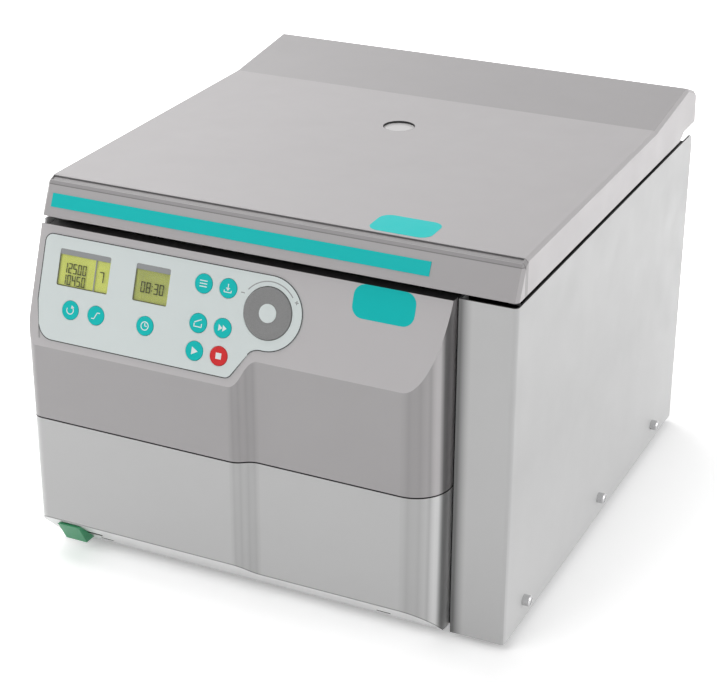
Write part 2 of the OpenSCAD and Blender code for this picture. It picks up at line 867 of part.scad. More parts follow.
module motor_bearings() {
  color(steel) placed() for (z = bearing_zs) translate([0, rotor_y, z]) difference() {
    cylinder(r = bearing_r, h = bearing_h);
    translate([0, 0, -1]) cylinder(r = shaft_r + running, h = bearing_h + 2);
    translate([0, 0, bearing_h - 0.6]) difference() {
      cylinder(r = bearing_r - 2, h = 1);
      translate([0, 0, -1]) cylinder(r = shaft_r + 2, h = 3);
    }
  }
}

module motor_shaft() {
  top = pin_z + hub_h / 2;
  color(steel) placed() translate([0, rotor_y, 0]) {
    translate([0, 0, motor_z + 9]) cylinder(r = shaft_r, h = top - motor_z - 9);
    translate([0, 0, top - 1]) cylinder(r = stud_r, h = stud_h + 1);
    translate([0, 0, top - hub_h - 4]) cylinder(r = shaft_r + 4, h = 4);
  }
}

// Plate on rubber mounts that carries the motor
module motor_plate() {
  plate = 2 * (mount_circle_r + 4);
  plate_over = 16;
  plate_corner_r = 24;
  color(mid_grey) placed() translate([0, rotor_y, plate_z]) linear_extrude(plate_t) difference() {
    translate([-plate / 2, -plate / 2]) round_rect(plate, plate + plate_over, plate_corner_r);
    circle(motor_d / 2 + 0.5);
  }
}

// Three rubber buffers, waisted in the middle
module motor_mounts() {
  r = 14;
  waist_r = 11;
  h = plate_z - floor_z;
  end_h = 8;
  color(dark) placed() translate([0, rotor_y, floor_z]) for (a = [90, 210, 330])
    rotate([0, 0, a]) translate([mount_circle_r, 0, 0]) {
      cylinder(r = r, h = end_h);
      translate([0, 0, end_h]) cylinder(r1 = r, r2 = waist_r, h = h / 2 - end_h);
      translate([0, 0, h / 2]) cylinder(r1 = waist_r, r2 = r, h = h / 2 - end_h);
      translate([0, 0, h - end_h]) cylinder(r = r, h = end_h);
    }
}

// Rubber bellows between the motor and the bowl's floor
module shaft_seal() {
  h = bowl_floor - bowl_t - motor_top;
  inner = shaft_r + 4;
  outer = 26;
  lip_w = 5;
  lip_t = 4;
  color(dark) placed() translate([0, rotor_y, motor_top]) difference() {
    union() {
      cylinder(r = outer, h = lip_t);
      cylinder(r = outer - lip_w, h = h);
      translate([0, 0, h - lip_t]) cylinder(r = outer, h = lip_t);
    }
    translate([0, 0, -1]) cylinder(r = inner, h = h + 2);
  }
}

// Cross with four U-shaped slots, each with two pins that carry a bucket
module rotor_yoke() {
  inner = slot_half + free;
  color(steel) placed() translate([0, rotor_y, pin_z]) {
    difference() {
      union() {
        translate([0, 0, -rotor_t / 2]) cylinder(r = rotor_r, h = rotor_t, $fn = 128);
        translate([0, 0, -hub_h / 2]) cylinder(r = hub_r, h = hub_h);
      }
      for (a = [0 : 90 : 270]) rotate([0, 0, a]) translate([pin_circle_r, 0, -big / 2]) {
        cylinder(r = slot_r, h = big);
        translate([0, -slot_half, 0]) cube([rotor_r, 2 * slot_half, big]);
      }
      translate([0, 0, -hub_h]) cylinder(r = shaft_r + small_gap, h = 2 * hub_h);
      for (a = [45 : 90 : 315]) rotate([0, 0, a]) translate([rotor_r * 0.72, 0, -big / 2])
        cylinder(r = 8, h = big);
    }
    for (a = [0 : 90 : 270], s = [-1, 1]) rotate([0, 0, a])
      translate([pin_circle_r, s * (bucket_d / 2 + 0.5), 0]) rotate([-90 * s, 0, 0])
        cylinder(d = bucket_pin_d, h = 12);
  }
}

// A bucket with a thick rim, a rounded foot and two hooked pads that hang on the pins
module bucket(turn) {
  r = bucket_d / 2;
  foot_r = 10;
  top = bucket_rise;
  inner_r = r - bucket_t;
  slot_w = bucket_pin_d + 2 * running;
  color(pale_grey) placed() translate([0, rotor_y, pin_z]) rotate([0, 0, turn])
    translate([pin_circle_r, 0, 0]) {
      rotate_extrude() difference() {
        translate([0, -bucket_drop]) square([r, bucket_drop + top]);
        corner_web([r, -bucket_drop], 90, 180, foot_r);
        difference() {
          translate([-1, -bucket_drop + bucket_t]) square([inner_r + 1, bucket_drop + top]);
          corner_web([inner_r, -bucket_drop + bucket_t], 90, 180, foot_r - bucket_t);
        }
      }
      for (s = [-1, 1]) difference() {
        translate([0, s * (r - 1), 0]) rotate([-90 * s, 0, 0]) cylinder(r = bucket_pad_r, h = 4);
        translate([0, s * (r + 0.2), 0]) rotate([-90 * s, 0, 0]) cylinder(d = slot_w, h = 8);
        translate([-slot_w / 2, s > 0 ? r + 0.2 : -r - 8.2, -bucket_pad_r - 1])
          cube([slot_w, 8, bucket_pad_r + 1]);
      }
    }
}

module bucket_1() { bucket(0); }
module bucket_2() { bucket(90); }
module bucket_3() { bucket(180); }
module bucket_4() { bucket(270); }

// Knurled nut that holds the rotor on the shaft
module rotor_nut() {
  flutes = 12;
  top = pin_z + hub_h / 2;
  color(dark) placed() translate([0, rotor_y, top]) difference() {
    union() {
      cylinder(r = nut_r, h = nut_h - 4);
      translate([0, 0, nut_h - 4]) cylinder(r1 = nut_r, r2 = nut_r - 5, h = 4);
    }
    for (i = [0 : flutes - 1]) rotate([0, 0, i * 360 / flutes])
      translate([nut_r + 1.5, 0, 4]) cylinder(r = 3, h = nut_h);
    translate([0, 0, -1]) cylinder(r = stud_r + small_gap, h = stud_h + 1.5);
  }
}

// Side view of the lid, as [y, z] over its underside, drawn inwards by t
function lid_view(t) = [
  [t / sin(front_slope), t > 0 ? -1 : 0],
  [lid_front_set + t / sin(front_slope), lid_front_h],
  [lid_edge_y + t / 2, lid_edge_h - t],
  [crease_y, crease_h - t],
  [ridge_y, ridge_h - t],
  [lid_back - 5.6 - t / 2, ridge_h - 8.5 - t],
  [lid_back - 2 - t, ridge_h - 12.4],
  [lid_back - t, rear_lift - (t > 0 ? 1 : 0)],
  [rear_lift_y, rear_lift - (t > 0 ? 7 : 0)],
  [skirt_end, t > 0 ? -1 : 0]
];

// What the bevel takes off along the right edge from point i to i + 1 of a side view
module side_bevel(o, i) {
  run = o[i + 1] - o[i];
  over = 5;
  translate([half_w, o[i][0], o[i][1]]) rotate([atan2(run[1], run[0]), 0, 0])
    translate([0, norm(run) + over, 0]) rotate([90, 0, 0]) linear_extrude(norm(run) + 2 * over)
      polygon([[-lid_bevel, 0], [0, -lid_bevel], [1, -lid_bevel - 1], [1, 1], [-lid_bevel - 1, 1]]);
}

// Bevels along the front and the top, and those along the ridge, which meet just before the crease
module side_bevels(o) {
  split = o[lid_crease][0] - 1;
  for (group = [[0, lid_crease, split - big], [lid_crease, lid_heel, split]]) intersection() {
    for (i = [group[0] : group[1] - 1]) side_bevel(o, i);
    translate([half_w - 2 * lid_bevel, group[2], -big / 2]) cube([3 * lid_bevel, big, big]);
  }
}

// Hollow lid cover: leaning front with a groove below its edge, flat top, crease and ridge
module lid_shell() {
  outline = lid_view(0);
  port_r = port_d / 2 + slack;
  groove_l = cab_w - 6;
  groove = [4.6, 1.1];
  edge_run = outline[2] - outline[1];
  color(metal_grey) placed() translate([0, 0, lid_z]) difference() {
    across(-half_w, half_w) polygon(outline);
    across(-lid_inner_x, lid_inner_x) polygon(lid_view(lid_t));
    both_sides() side_bevels(outline);
    translate([-groove_l / 2, outline[1][0], outline[1][1]])
      rotate([atan2(edge_run[1], edge_run[0]), 0, 0])
        translate([0, 1, -groove[1]]) cube([groove_l, groove[0], 3]);
    translate([0, rotor_y, 0]) cylinder(r = port_r, h = big);
  }
}

// Inner plate of the lid with a raised round over the chamber and the struts' ears
module lid_liner() {
  round_r = bowl_r - 6;
  round_h = 2;
  ear_w = 18;
  ear_x = strut_x + strut_eye_t / 2 + free;
  color([0.85, 0.85, 0.85]) placed() difference() {
    union() {
      translate([-lid_inner_x, 6, liner_z])
        cube([2 * lid_inner_x, liner_back - 6, liner_t]);
      translate([0, rotor_y, liner_z - round_h]) cylinder(r = round_r, h = round_h + 0.5, $fn = 128);
      both_sides() {
        translate([ear_x, strut_head[0] - ear_w / 2, strut_head[1]])
          cube([ear_t, ear_w, liner_z - strut_head[1] + 0.5]);
        translate([ear_x, strut_head[0], strut_head[1]]) rotate([0, 90, 0])
          cylinder(r = strut_eye_r, h = ear_t);
      }
    }
    translate([0, rotor_y, liner_z - 5]) cylinder(r = port_d / 2 - 2, h = 10);
  }
}

liner_back = deck_back - 3.5;

// Coloured foil on the leaning front face of the lid
module accent_stripe() {
  stripe_in = 7.5;
  color(teal) placed() translate([-half_w + stripe_in, 0, lid_z]) rotate([front_slope, 0, 0])
    translate([0, stripe_z, 0]) cube([stripe_l, stripe_h, stripe_t]);
}

// Sight tube between liner and lid top, closed by a clear window
module sight_port() {
  r = port_d / 2;
  top = lid_z + crease_h - 0.9 - port_recess;
  color([0.6, 0.65, 0.66, 0.6]) placed() translate([0, rotor_y, liner_z + liner_t]) difference() {
    cylinder(r = r, h = top - liner_z - liner_t);
    translate([0, 0, -1]) cylinder(r = r - 2, h = top - liner_z - liner_t - 3);
  }
}

// Two brackets with ears, on the deck's rear flange
module hinge_brackets() {
  y0 = deck_back;
  ear_x = barrel_l / 2 + free;
  plate_t = 2;
  top_z = hinge_z - barrel_r - 0.5;
  base_z = top_z - 21;
  ear_foot = 5;
  rim = ear_r * [0.8, 0.6];
  color(mid_grey) placed() for (s = [-1, 1]) translate([s * hinge_x, 0, 0]) difference() {
    union() {
      translate([-ear_x - ear_t, y0, base_z]) cube([2 * (ear_x + ear_t), plate_t, top_z - base_z]);
      for (e = [-1, 1]) translate([e * (ear_x + ear_t / 2), 0, 0]) across(-ear_t / 2, ear_t / 2) {
        translate([hinge_y, hinge_z]) circle(ear_r);
        polygon([
          [y0, base_z], [y0 + ear_foot, base_z], [hinge_y + rim[0], hinge_z - rim[1]],
          [hinge_y - rim[0], hinge_z + rim[1]], [y0, top_z]
        ]);
      }
    }
    translate([-big / 2, hinge_y, hinge_z]) rotate([0, 90, 0])
      cylinder(r = hinge_pin_d / 2 + small_gap, h = big);
  }
}

module hinge_pins() {
  l = barrel_l + 2 * (ear_t + free) + 2;
  color(steel) placed() for (s = [-1, 1]) translate([s * hinge_x - l / 2, hinge_y, hinge_z])
    rotate([0, 90, 0]) cylinder(d = hinge_pin_d, h = l);
}

// Arms on top of the liner that run back to the hinge barrels
module lid_hinge_arms() {
  seat = liner_z + liner_t;
  arm_w = barrel_l - 7;
  arm_l = 50;
  arm_t = 4;
  bend_back = 10;
  heel = [5, 8];
  color(mid_grey) placed() for (s = [-1, 1]) translate([s * hinge_x, 0, 0]) difference() {
    union() {
      across(-barrel_l / 2, barrel_l / 2) translate([hinge_y, hinge_z]) circle(barrel_r);
      across(-arm_w / 2, arm_w / 2)
        polygon([
          [hinge_y - arm_l, seat], [hinge_y - arm_l, seat + arm_t],
          [hinge_y - bend_back, seat + 2 * arm_t + 1], [hinge_y + heel[0], hinge_z + heel[1]],
          [hinge_y + barrel_r - 1, hinge_z], [hinge_y, hinge_z - 1],
          [hinge_y - barrel_r + 0.5, hinge_z], [liner_back + 1, seat]
        ]);
    }
    translate([-barrel_l, hinge_y, hinge_z]) rotate([0, 90, 0])
      cylinder(r = hinge_pin_d / 2 + running, h = 2 * barrel_l);
  }
}

// Lays a strut piece at its foot, with z along the strut
module along_strut() {
  translate([strut_x, strut_foot[0], strut_foot[1]]) rotate([-strut_a, 0, 0]) children();
}

module strut_cylinder() {
  neck_l = 8;
  neck_w = 8;
  tube_floor = 12;
  color(dark) placed() along_strut() difference() {
    union() {
      translate([-strut_eye_t / 2, 0, 0]) rotate([0, 90, 0])
        cylinder(r = strut_eye_r + 1, h = strut_eye_t);
      translate([0, 0, neck_l]) cylinder(d = strut_d, h = cylinder_l - neck_l);
      translate([-strut_eye_t / 2, -neck_w / 2, 0]) cube([strut_eye_t, neck_w, neck_l + 2]);
    }
    translate([-strut_eye_t, 0, 0]) rotate([0, 90, 0])
      cylinder(r = strut_pin_r + running, h = 2 * strut_eye_t);
    translate([0, 0, tube_floor]) cylinder(d = strut_bore, h = cylinder_l - tube_floor - 4);
    translate([0, 0, tube_floor]) cylinder(r = rod_d / 2 + running, h = cylinder_l);
  }
}

module strut_rod() {
  piston_h = 8;
  color(steel) placed() along_strut() {
    translate([0, 0, piston_z]) cylinder(d = rod_d, h = strut_l - piston_z - 3);
    translate([0, 0, piston_z]) cylinder(d = strut_bore - 2 * running, h = piston_h);
    translate([-strut_eye_t / 2, 0, strut_l]) rotate([0, 90, 0])
      cylinder(r = strut_eye_r, h = strut_eye_t);
  }
}

module strut_cylinder_right() { strut_cylinder(); }
module strut_rod_right() { strut_rod(); }
module strut_cylinder_left() { mirror([1, 0, 0]) strut_cylinder(); }
module strut_rod_left() { mirror([1, 0, 0]) strut_rod(); }

// Lock housing under the deck, with the channel of the latch bar and its small motor
module lock_case() {
  wall = 5;
  lock_motor_r = 10;
  lock_motor_l = 63;
  motor_low = 18;
  color(mid_grey) placed() difference() {
    union() {
      translate([-lock_l / 2, latch_y - latch_w / 2 - wall, latch_z - latch_h / 2 - wall])
        cube([lock_l, latch_w + 2 * wall, deck_z - latch_z + latch_h / 2 + wall]);
      translate([-lock_l / 2, latch_y - 2, latch_z - motor_low]) rotate([0, 90, 0])
        cylinder(r = lock_motor_r, h = lock_motor_l);
    }
    translate([-lock_l, latch_y - latch_w / 2 - free, latch_z - latch_h / 2 - free])
      cube([2 * lock_l, latch_w + 2 * free, latch_h + 2 * free]);
  }
}

// Bar with two noses that enter the strikers when it slides to the right
module latch_bar() {
  nose_l = 9;
  tip_gap = 1.3;
  finger_w = 6;
  finger_x = -nose_l - finger_w + 1;
  left_x = -striker_x - striker_t / 2 - tip_gap + finger_x + 0.8;
  right_x = striker_x - striker_t / 2 - tip_gap + finger_x + finger_w + 0.8;
  color(steel) placed() translate([0, 0, latch_z]) {
    translate([left_x, latch_y - latch_w / 2, -latch_h / 2])
      cube([right_x - left_x, latch_w, latch_h]);
    for (s = [-1, 1]) translate([s * striker_x - striker_t / 2 - tip_gap, 0, 0]) {
      translate([finger_x, striker_y - latch_nose_r - 1, -latch_h / 2])
        cube([finger_w, latch_y - striker_y + latch_w / 2, latch_h]);
      translate([-nose_l, striker_y, 0]) rotate([0, 90, 0])
        cylinder(r = latch_nose_r, h = nose_l);
    }
  }
}

// Plates that hang from the liner, each with a hole for the latch bar's nose
module lid_strikers() {
  w = 16;
  foot = 20;
  hole = [8, 9];
  low = liner_z - striker_drop;
  color(steel) placed() for (s = [-1, 1]) translate([s * striker_x, striker_y, 0]) difference() {
    union() {
      translate([-striker_t / 2, -w / 2, low]) cube([striker_t, w, striker_drop]);
      translate([-5, -w / 2 - 1, liner_z - 2]) cube([10, foot - 2, 2]);
    }
    translate([-5, -hole[0] / 2, latch_z - hole[1] / 2]) cube([10, hole[0], hole[1]]);
  }
}

strap_t = 2.5;
strap_z = 15.2;

// Green pull tab: a wedge in front of the undercut, on a strap that runs back inside
module release_tab() {
  off = 0.6;
  high = 26.5;
  low = 7.5;
  color([0.28, 0.6, 0.46]) placed() {
    across(tab_x - tab_w / 2, tab_x + tab_w / 2)
      polygon([[-left_out, high], [-left_out + 10.5, low],
        [-low - off, low], [-high - off, high]]);
    translate([tab_x - tab_w / 2 + 2, -left_out + 10, strap_z - strap_t / 2])
      cube([tab_w - 4, left_out + frame_y + tab_travel + 4, strap_t]);
  }
}

module feet() {
  color(dark) placed() for (x = [-1, 1], y = [foot_inset, cab_d - foot_inset])
    translate([x * (half_w - foot_inset), y, -foot_h]) {
      cylinder(d1 = foot_d - 3, d2 = foot_d, h = foot_h);
    }
}

// Domed screws that hold the side panels to the floor's flanges
module side_screws() {
  r = screw_head_d / 2;
  crown = 1;
  color(pale_grey) placed() both_sides() for (y = screw_ys)
    translate([half_w, y, screw_z]) rotate([0, 90, 0]) {
      cylinder(r = r, h = screw_head_h - crown);
      translate([0, 0, screw_head_h - crown]) cylinder(r1 = r, r2 = r - crown, h = crown);
      translate([0, 0, -2 * sheet_t - 2]) cylinder(r = screw_r, h = 2 * sheet_t + 2);
    }
}

entry_body = [28, 58];
entry_flange = [36, 66];
socket = [24, 18, 17];
rocker = [20, 13, 6];
rocker_at = 16.5;
rocker_in = 6.5;
rocker_swing = 14;
trunnion_r = 2;
socket_at = -13;

// Mains inlet with three pins and, above it, the frame of the switch
module power_entry() {
  deep = 26;
  flange_t = 2;
  pin = [2, 14, 4];
  pin_places = [[-7, -2], [7, -2], [0, 3]];
  rocker_well = [20, 14];
  color(dark) placed() translate([inlet_x, cab_d - sheet_t, inlet_z]) {
    difference() {
      union() {
        translate([-entry_flange[0] / 2, 0, -entry_flange[1] / 2])
          cube([entry_flange[0], flange_t, entry_flange[1]]);
        translate([-entry_body[0] / 2 + slack, -deep, -entry_body[1] / 2 + slack])
          cube([entry_body[0] - 2 * slack, deep + 1, entry_body[1] - 2 * slack]);
      }
      translate([-socket[0] / 2, flange_t - socket[2], socket_at - socket[1] / 2])
        cube([socket[0], socket[2] + 1, socket[1]]);
      translate([-rocker[0] / 2 - free, -rocker_well[1], rocker_at - rocker[1] / 2 - free])
        cube([rocker[0] + 2 * free, rocker_well[0], rocker[1] + 2 * free]);
      translate([-rocker[0] / 2 - 3, sheet_t - rocker_in, rocker_at]) rotate([0, 90, 0])
        cylinder(r = trunnion_r + running, h = rocker[0] + 6);
    }
    for (p = pin_places)
      translate([p[0] - pin[0] / 2, flange_t - socket[2] - 1, socket_at + p[1] - pin[2] / 2])
        cube(pin);
  }
}

// Rocker of the mains switch, on its trunnion inside the frame
module rocker_switch() {
  half = rocker_swing / 2;
  l = rocker[0] + 4;
  color([0.1, 0.1, 0.1]) placed()
    translate([inlet_x, cab_d - rocker_in, inlet_z + rocker_at]) {
      rotate([half, 0, 0]) across(-rocker[0] / 2, rocker[0] / 2)
        polygon([[-3, -3], [-3, 3], [8, rocker[1] / 2 - 1.5], [7, 0], [8, 1.5 - rocker[1] / 2]]);
      translate([-l / 2, 0, 0]) rotate([0, 90, 0]) cylinder(r = trunnion_r, h = l);
    }
}

// Motor drive: a board with its coolers on an upright plate at the front left
module drive_board() {
  plate = [3, 85, 190];
  fin = [14, 2.5, 75];
  fin_pitch = 8;
  fin_first = [6, 100];
  fins = 9;
  capacitors = [10, 26, 40];
  filter = [14, 30, 30];
  parts_z = 20;
  place = [-inner_x + slack + sheet_t + 2, frame_y + 12, floor_z];
  color([0.12, 0.35, 0.2]) placed() translate(place) {
    cube(plate);
    for (i = [0 : fins - 1])
      translate([plate[0], fin_first[0] + i * fin_pitch, fin_first[1]]) cube(fin);
    translate([plate[0], 10, parts_z]) cube(capacitors);
    translate([plate[0], 45, parts_z]) cube(filter);
  }
}

base_pan();
side_panel_right();
side_panel_left();
rear_panel();
front_frame();
console_panel();
lower_panel();
keypad_foil();
key_speed();
key_ramp();
key_time();
key_program();
key_save();
key_lid();
key_pulse();
key_start();
key_stop();
dial_knob();
dial_cap();
dial_encoder();
display_windows();
speed_display();
time_display();
control_board();
top_deck();
chamber_bowl();
chamber_seal();
guard_ring();
motor_housing();
motor_shaft();
motor_bearings();
motor_plate();
motor_mounts();
shaft_seal();
rotor_yoke();
bucket_1();
bucket_2();
bucket_3();
bucket_4();
rotor_nut();
lid_shell();
lid_liner();
accent_stripe();
sight_port();
hinge_brackets();
hinge_pins();
lid_hinge_arms();
strut_cylinder_right();
strut_rod_right();
strut_cylinder_left();
strut_rod_left();
lock_case();
latch_bar();
lid_strikers();
release_tab();
feet();
side_screws();
power_entry();
rocker_switch();
drive_board();
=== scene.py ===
import math
import bmesh
import bpy
from mathutils import Matrix, Vector


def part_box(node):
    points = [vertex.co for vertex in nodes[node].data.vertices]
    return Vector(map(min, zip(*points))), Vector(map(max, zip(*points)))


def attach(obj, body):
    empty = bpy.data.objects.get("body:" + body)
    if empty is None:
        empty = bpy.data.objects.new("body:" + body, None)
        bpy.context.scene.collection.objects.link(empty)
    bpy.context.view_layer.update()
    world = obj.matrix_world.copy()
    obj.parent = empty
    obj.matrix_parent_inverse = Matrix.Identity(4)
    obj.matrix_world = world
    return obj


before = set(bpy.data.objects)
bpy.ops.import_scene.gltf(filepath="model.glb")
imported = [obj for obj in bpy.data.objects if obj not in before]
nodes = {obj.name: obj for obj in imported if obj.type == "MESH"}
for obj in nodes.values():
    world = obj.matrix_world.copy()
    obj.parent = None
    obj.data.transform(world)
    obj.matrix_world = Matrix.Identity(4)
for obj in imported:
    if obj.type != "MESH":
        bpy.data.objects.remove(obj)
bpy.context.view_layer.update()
scene = bpy.context.scene

# Lengths are in metres. The outlines of small pieces are in millimetres, scaled by MM.
MM = 0.001
MICRON = 1e-6


# Materials

# A grey level from steps() is stored over this, so that it can go past 1
LEVEL_TOP = 1.5
# Ends of the part of a noise's range that is used
NOISE = (0.3, 0.7)


def lin(c):
    """sRGB 0-255 to linear."""
    out = []
    for v in c:
        v = v / 255
        out.append(v / 12.92 if v <= 0.04045 else ((v + 0.055) / 1.055) ** 2.4)
    return (*out, 1)


def times(c, k):
    return (c[0] * k, c[1] * k, c[2] * k, 1)


class Mat:
    """A node material, with short ways to add and join its nodes."""

    def __init__(self, name):
        self.m = bpy.data.materials.new(name)
        self.m.use_nodes = True
        self.t = self.m.node_tree
        self.t.nodes.clear()
        self.out = self.add("ShaderNodeOutputMaterial")
        self.p = self.add("ShaderNodeBsdfPrincipled")
        self.link(self.p.outputs[0], self.out.inputs["Surface"])
        self.pos = self.add("ShaderNodeTexCoord").outputs["Object"]

    def add(self, kind, **inputs):
        n = self.t.nodes.new(kind)
        for key, value in inputs.items():
            n.inputs[key].default_value = value
        return n

    def link(self, a, b):
        self.t.links.new(a, b)

    def feed(self, value, sock):
        """Sets a socket to a number or colour, or joins another socket to it."""
        if isinstance(value, (tuple, float, int)):
            sock.default_value = value
        else:
            self.link(value, sock)

    def noise(self, scale, detail=4.0, rough=0.55, stretch=None):
        src = self.pos
        if stretch:
            mapping = self.add("ShaderNodeMapping", Scale=stretch)
            self.link(src, mapping.inputs[0])
            src = mapping.outputs[0]
        n = self.add("ShaderNodeTexNoise", Scale=scale, Detail=detail, Roughness=rough)
        self.link(src, n.inputs["Vector"])
        return n.outputs["Fac"]

    def ramp(self, fac, lo, hi, a=0.0, b=1.0):
        """Goes from a at lo to b at hi, and no further."""
        n = self.add("ShaderNodeMapRange")
        for sock, value in zip(n.inputs, (fac, lo, hi, a, b)):
            self.feed(value, sock)
        return n.outputs[0]

    def mix(self, fac, a, b):
        n = self.add("ShaderNodeMix")
        n.data_type = "RGBA"
        for sock, value in ((n.inputs[0], fac), (n.inputs[6], a), (n.inputs[7], b)):
            self.feed(value, sock)
        return n.outputs[2]

    def math(self, op, a, b=0.0):
        n = self.add("ShaderNodeMath")
        n.operation = op
        for sock, value in zip(n.inputs, (a, b)):
            self.feed(value, sock)
        return n.outputs[0]

    def over(self, a, b):
        return self.math("GREATER_THAN", a, b)

    def under(self, a, b):
        return self.math("LESS_THAN", a, b)

    def most(self, a, b):
        return self.math("MAXIMUM", a, b)

    def product(self, first, *others):
        for other in others:
            first = self.math("MULTIPLY", first, other)
        return first

    def within(self, a, centre, reach):
        return self.under(self.math("ABSOLUTE", self.math("SUBTRACT", a, centre)), reach)

    def xyz(self, sock, which):
        n = self.add("ShaderNodeSeparateXYZ")
        self.link(sock, n.inputs[0])
        return n.outputs[which]

    def axis(self, which):
        """A coordinate of the point, in the object's own frame."""
        return self.xyz(self.pos, which)

    def normal(self, which):
        """A part of the surface's direction, in the object's own frame."""
        return self.xyz(self.add("ShaderNodeTexCoord").outputs["Normal"], which)

    def steps(self, fac, stops, lo=-1.0, hi=1.0):
        """A grey level that follows (value, level) pairs smoothly, over LEVEL_TOP."""
        n = self.add("ShaderNodeValToRGB")
        elements = n.color_ramp.elements
        n.color_ramp.interpolation = "LINEAR"
        for i, (value, level) in enumerate(stops):
            at = (value - lo) / (hi - lo)
            e = elements[i] if i < 2 else elements.new(at)
            e.position = at
            e.color = (level / LEVEL_TOP, level / LEVEL_TOP, level / LEVEL_TOP, 1)
        self.link(self.ramp(fac, lo, hi), n.inputs[0])
        return n.outputs[0]

    def shade(self, sock, level):
        """Multiplies a colour by a level from steps()."""
        n = self.add("ShaderNodeVectorMath")
        n.operation = "MULTIPLY"
        self.link(sock, n.inputs[0])
        self.link(level, n.inputs[1])
        k = self.add("ShaderNodeVectorMath")
        k.operation = "SCALE"
        self.link(n.outputs[0], k.inputs[0])
        k.inputs["Scale"].default_value = LEVEL_TOP
        return k.outputs[0]

    def colour(self, value):
        self.feed(value, self.p.inputs["Base Color"])

    def rough(self, value):
        self.feed(value, self.p.inputs["Roughness"])

    def bump(self, height, strength, distance):
        b = self.add("ShaderNodeBump", Strength=strength, Distance=distance)
        self.link(height, b.inputs["Height"])
        self.link(b.outputs[0], self.p.inputs["Normal"])


def surface(name, rgb, rough, metal=0.0, vary=0.05, scale=14, grain=900, bump=0.12,
            depth=0.0002, stretch=None, spec=0.5, level=None):
    """Paint, plastic or metal: soft cloudy tone, fine grain in relief and in gloss."""
    grain_tint = 0.25
    gloss_scale = scale * 6
    gloss_vary = 0.06
    m = Mat(name)
    base = lin(rgb)
    cloud = m.ramp(m.noise(scale, 5), *NOISE)
    fine = m.noise(grain, 3, stretch=stretch)
    tone = m.mix(cloud, times(base, 1 - vary), times(base, 1 + vary))
    out = m.mix(m.ramp(fine, *NOISE, 0, grain_tint), tone, times(base, 1 - 2 * vary))
    m.colour(m.shade(out, level(m)) if level else out)
    gloss = m.noise(gloss_scale, 4, stretch=stretch)
    m.rough(m.ramp(gloss, *NOISE, rough - gloss_vary, rough + gloss_vary))
    m.p.inputs["Metallic"].default_value = metal
    m.p.inputs["Specular IOR Level"].default_value = spec
    m.bump(fine, bump, depth)
    return m


def put(m, *names):
    """Gives a material to CAD nodes."""
    for n in names:
        o = nodes[n]
        o.data.materials.clear()
        o.data.materials.append(m.m)


SATIN = dict(grain=2600, bump=0.05, depth=0.00005, vary=0.015, scale=5)
# Less shine, so that strong colours stay full
SOFT = dict(SATIN, spec=0.2)
SILK = dict(SATIN, spec=0.3)
TEAL = (4, 196, 194)
PALE = (224, 232, 231)

# A surface counts as front, side, top or edge from these parts of its direction on
FACES_FRONT = 0.6
FACES_ASIDE = 0.7
FACES_UP = 0.9
EDGE_SHADE_FROM = 0.7
SEAM_FROM = 0.8
UPRIGHT = (-0.15, 0.2)
SLOT_FROM = -0.5

# Painted shadow on the column beside the moulded nose: where it starts and ends, and how dark it is
COLUMN_PAINTED_SHADOW = (0.1572, 0.1662)
SHADE_CURVE = 1.5
SHADE_DEPTH = 0.76
# Upward edges of the column are darkened nearly to black: painted shade in the gap under the lid
EDGE_SHADE_DEPTH = 0.92
# Painted bounce light, paler low on the side, between these heights
SIDE_PAINTED_BOUNCE = (0.02, 0.15)
SIDE_BOUNCE_GAIN = 0.24


def column_painted_light(m):
    """Painted shadow beside the nose, painted shade nearly black on upward edges, painted bounce
    light low on the side.
    """
    front = m.over(m.math("MULTIPLY", m.normal(1), -1.0), FACES_FRONT)
    near = m.ramp(m.axis(0), *COLUMN_PAINTED_SHADOW, 1.0, 0.0)
    near = m.product(m.math("POWER", near, SHADE_CURVE), SHADE_DEPTH, front)
    edge = m.product(m.over(m.normal(2), EDGE_SHADE_FROM), EDGE_SHADE_DEPTH)
    level = m.product(m.math("SUBTRACT", 1.0, m.most(near, edge)), 1 / LEVEL_TOP)
    side = m.product(m.over(m.normal(0), FACES_ASIDE),
                     m.ramp(m.axis(2), *SIDE_PAINTED_BOUNCE, SIDE_BOUNCE_GAIN, 0.0))
    return m.product(level, m.math("ADD", side, 1.0))


# Painted highlight and shade bands of the moulded front, by the way the surface faces across: the
# S-bend and the nose
PAINTED_SHEEN_BANDS = [
    (-1.0, 1.2), (-0.5, 1.2), (-0.1, 1.03), (0.0, 1.0), (0.1, 0.94), (0.21, 0.84),
    (0.31, 0.9), (0.41, 0.92), (0.5, 0.88), (0.57, 0.98), (0.64, 1.05), (0.71, 0.95),
    (0.77, 1.3), (0.82, 1.5), (0.87, 1.55), (0.905, 1.0), (0.935, 0.42), (0.965, 0.4),
    (0.98, 0.62), (1.0, 1.5),
]
# The undercut is the plane where y + z + UNDERCUT is 0, and its upper edge has a fine line
UNDERCUT = 0.1975
LINE = (0.0001, 0.0010)
# Surfaces that face up are painted black as shade in the gaps further than SEAM_REACH from this
# height
SEAM_MID = 0.24
SEAM_REACH = 0.043
# Shares of the tone: painted bounce light on the undercut, painted shade in the seam, fine line,
# painted shade in the tool slots, painted shade on the upright part of the upper panel
LIP_PAINTED_LIGHT = 1.5
SEAM_PAINTED_SHADE = 0.05
LINE_TONE = 0.55
SLOT_PAINTED_SHADE = 0.04
UPRIGHT_PAINTED_SHADE = 0.75
# Middles of the tool slots, and half of their width and height
SLOTS = ((-0.151, 0.014), (0.102, 0.014))
SLOT_HALF = (0.0062, 0.0011)


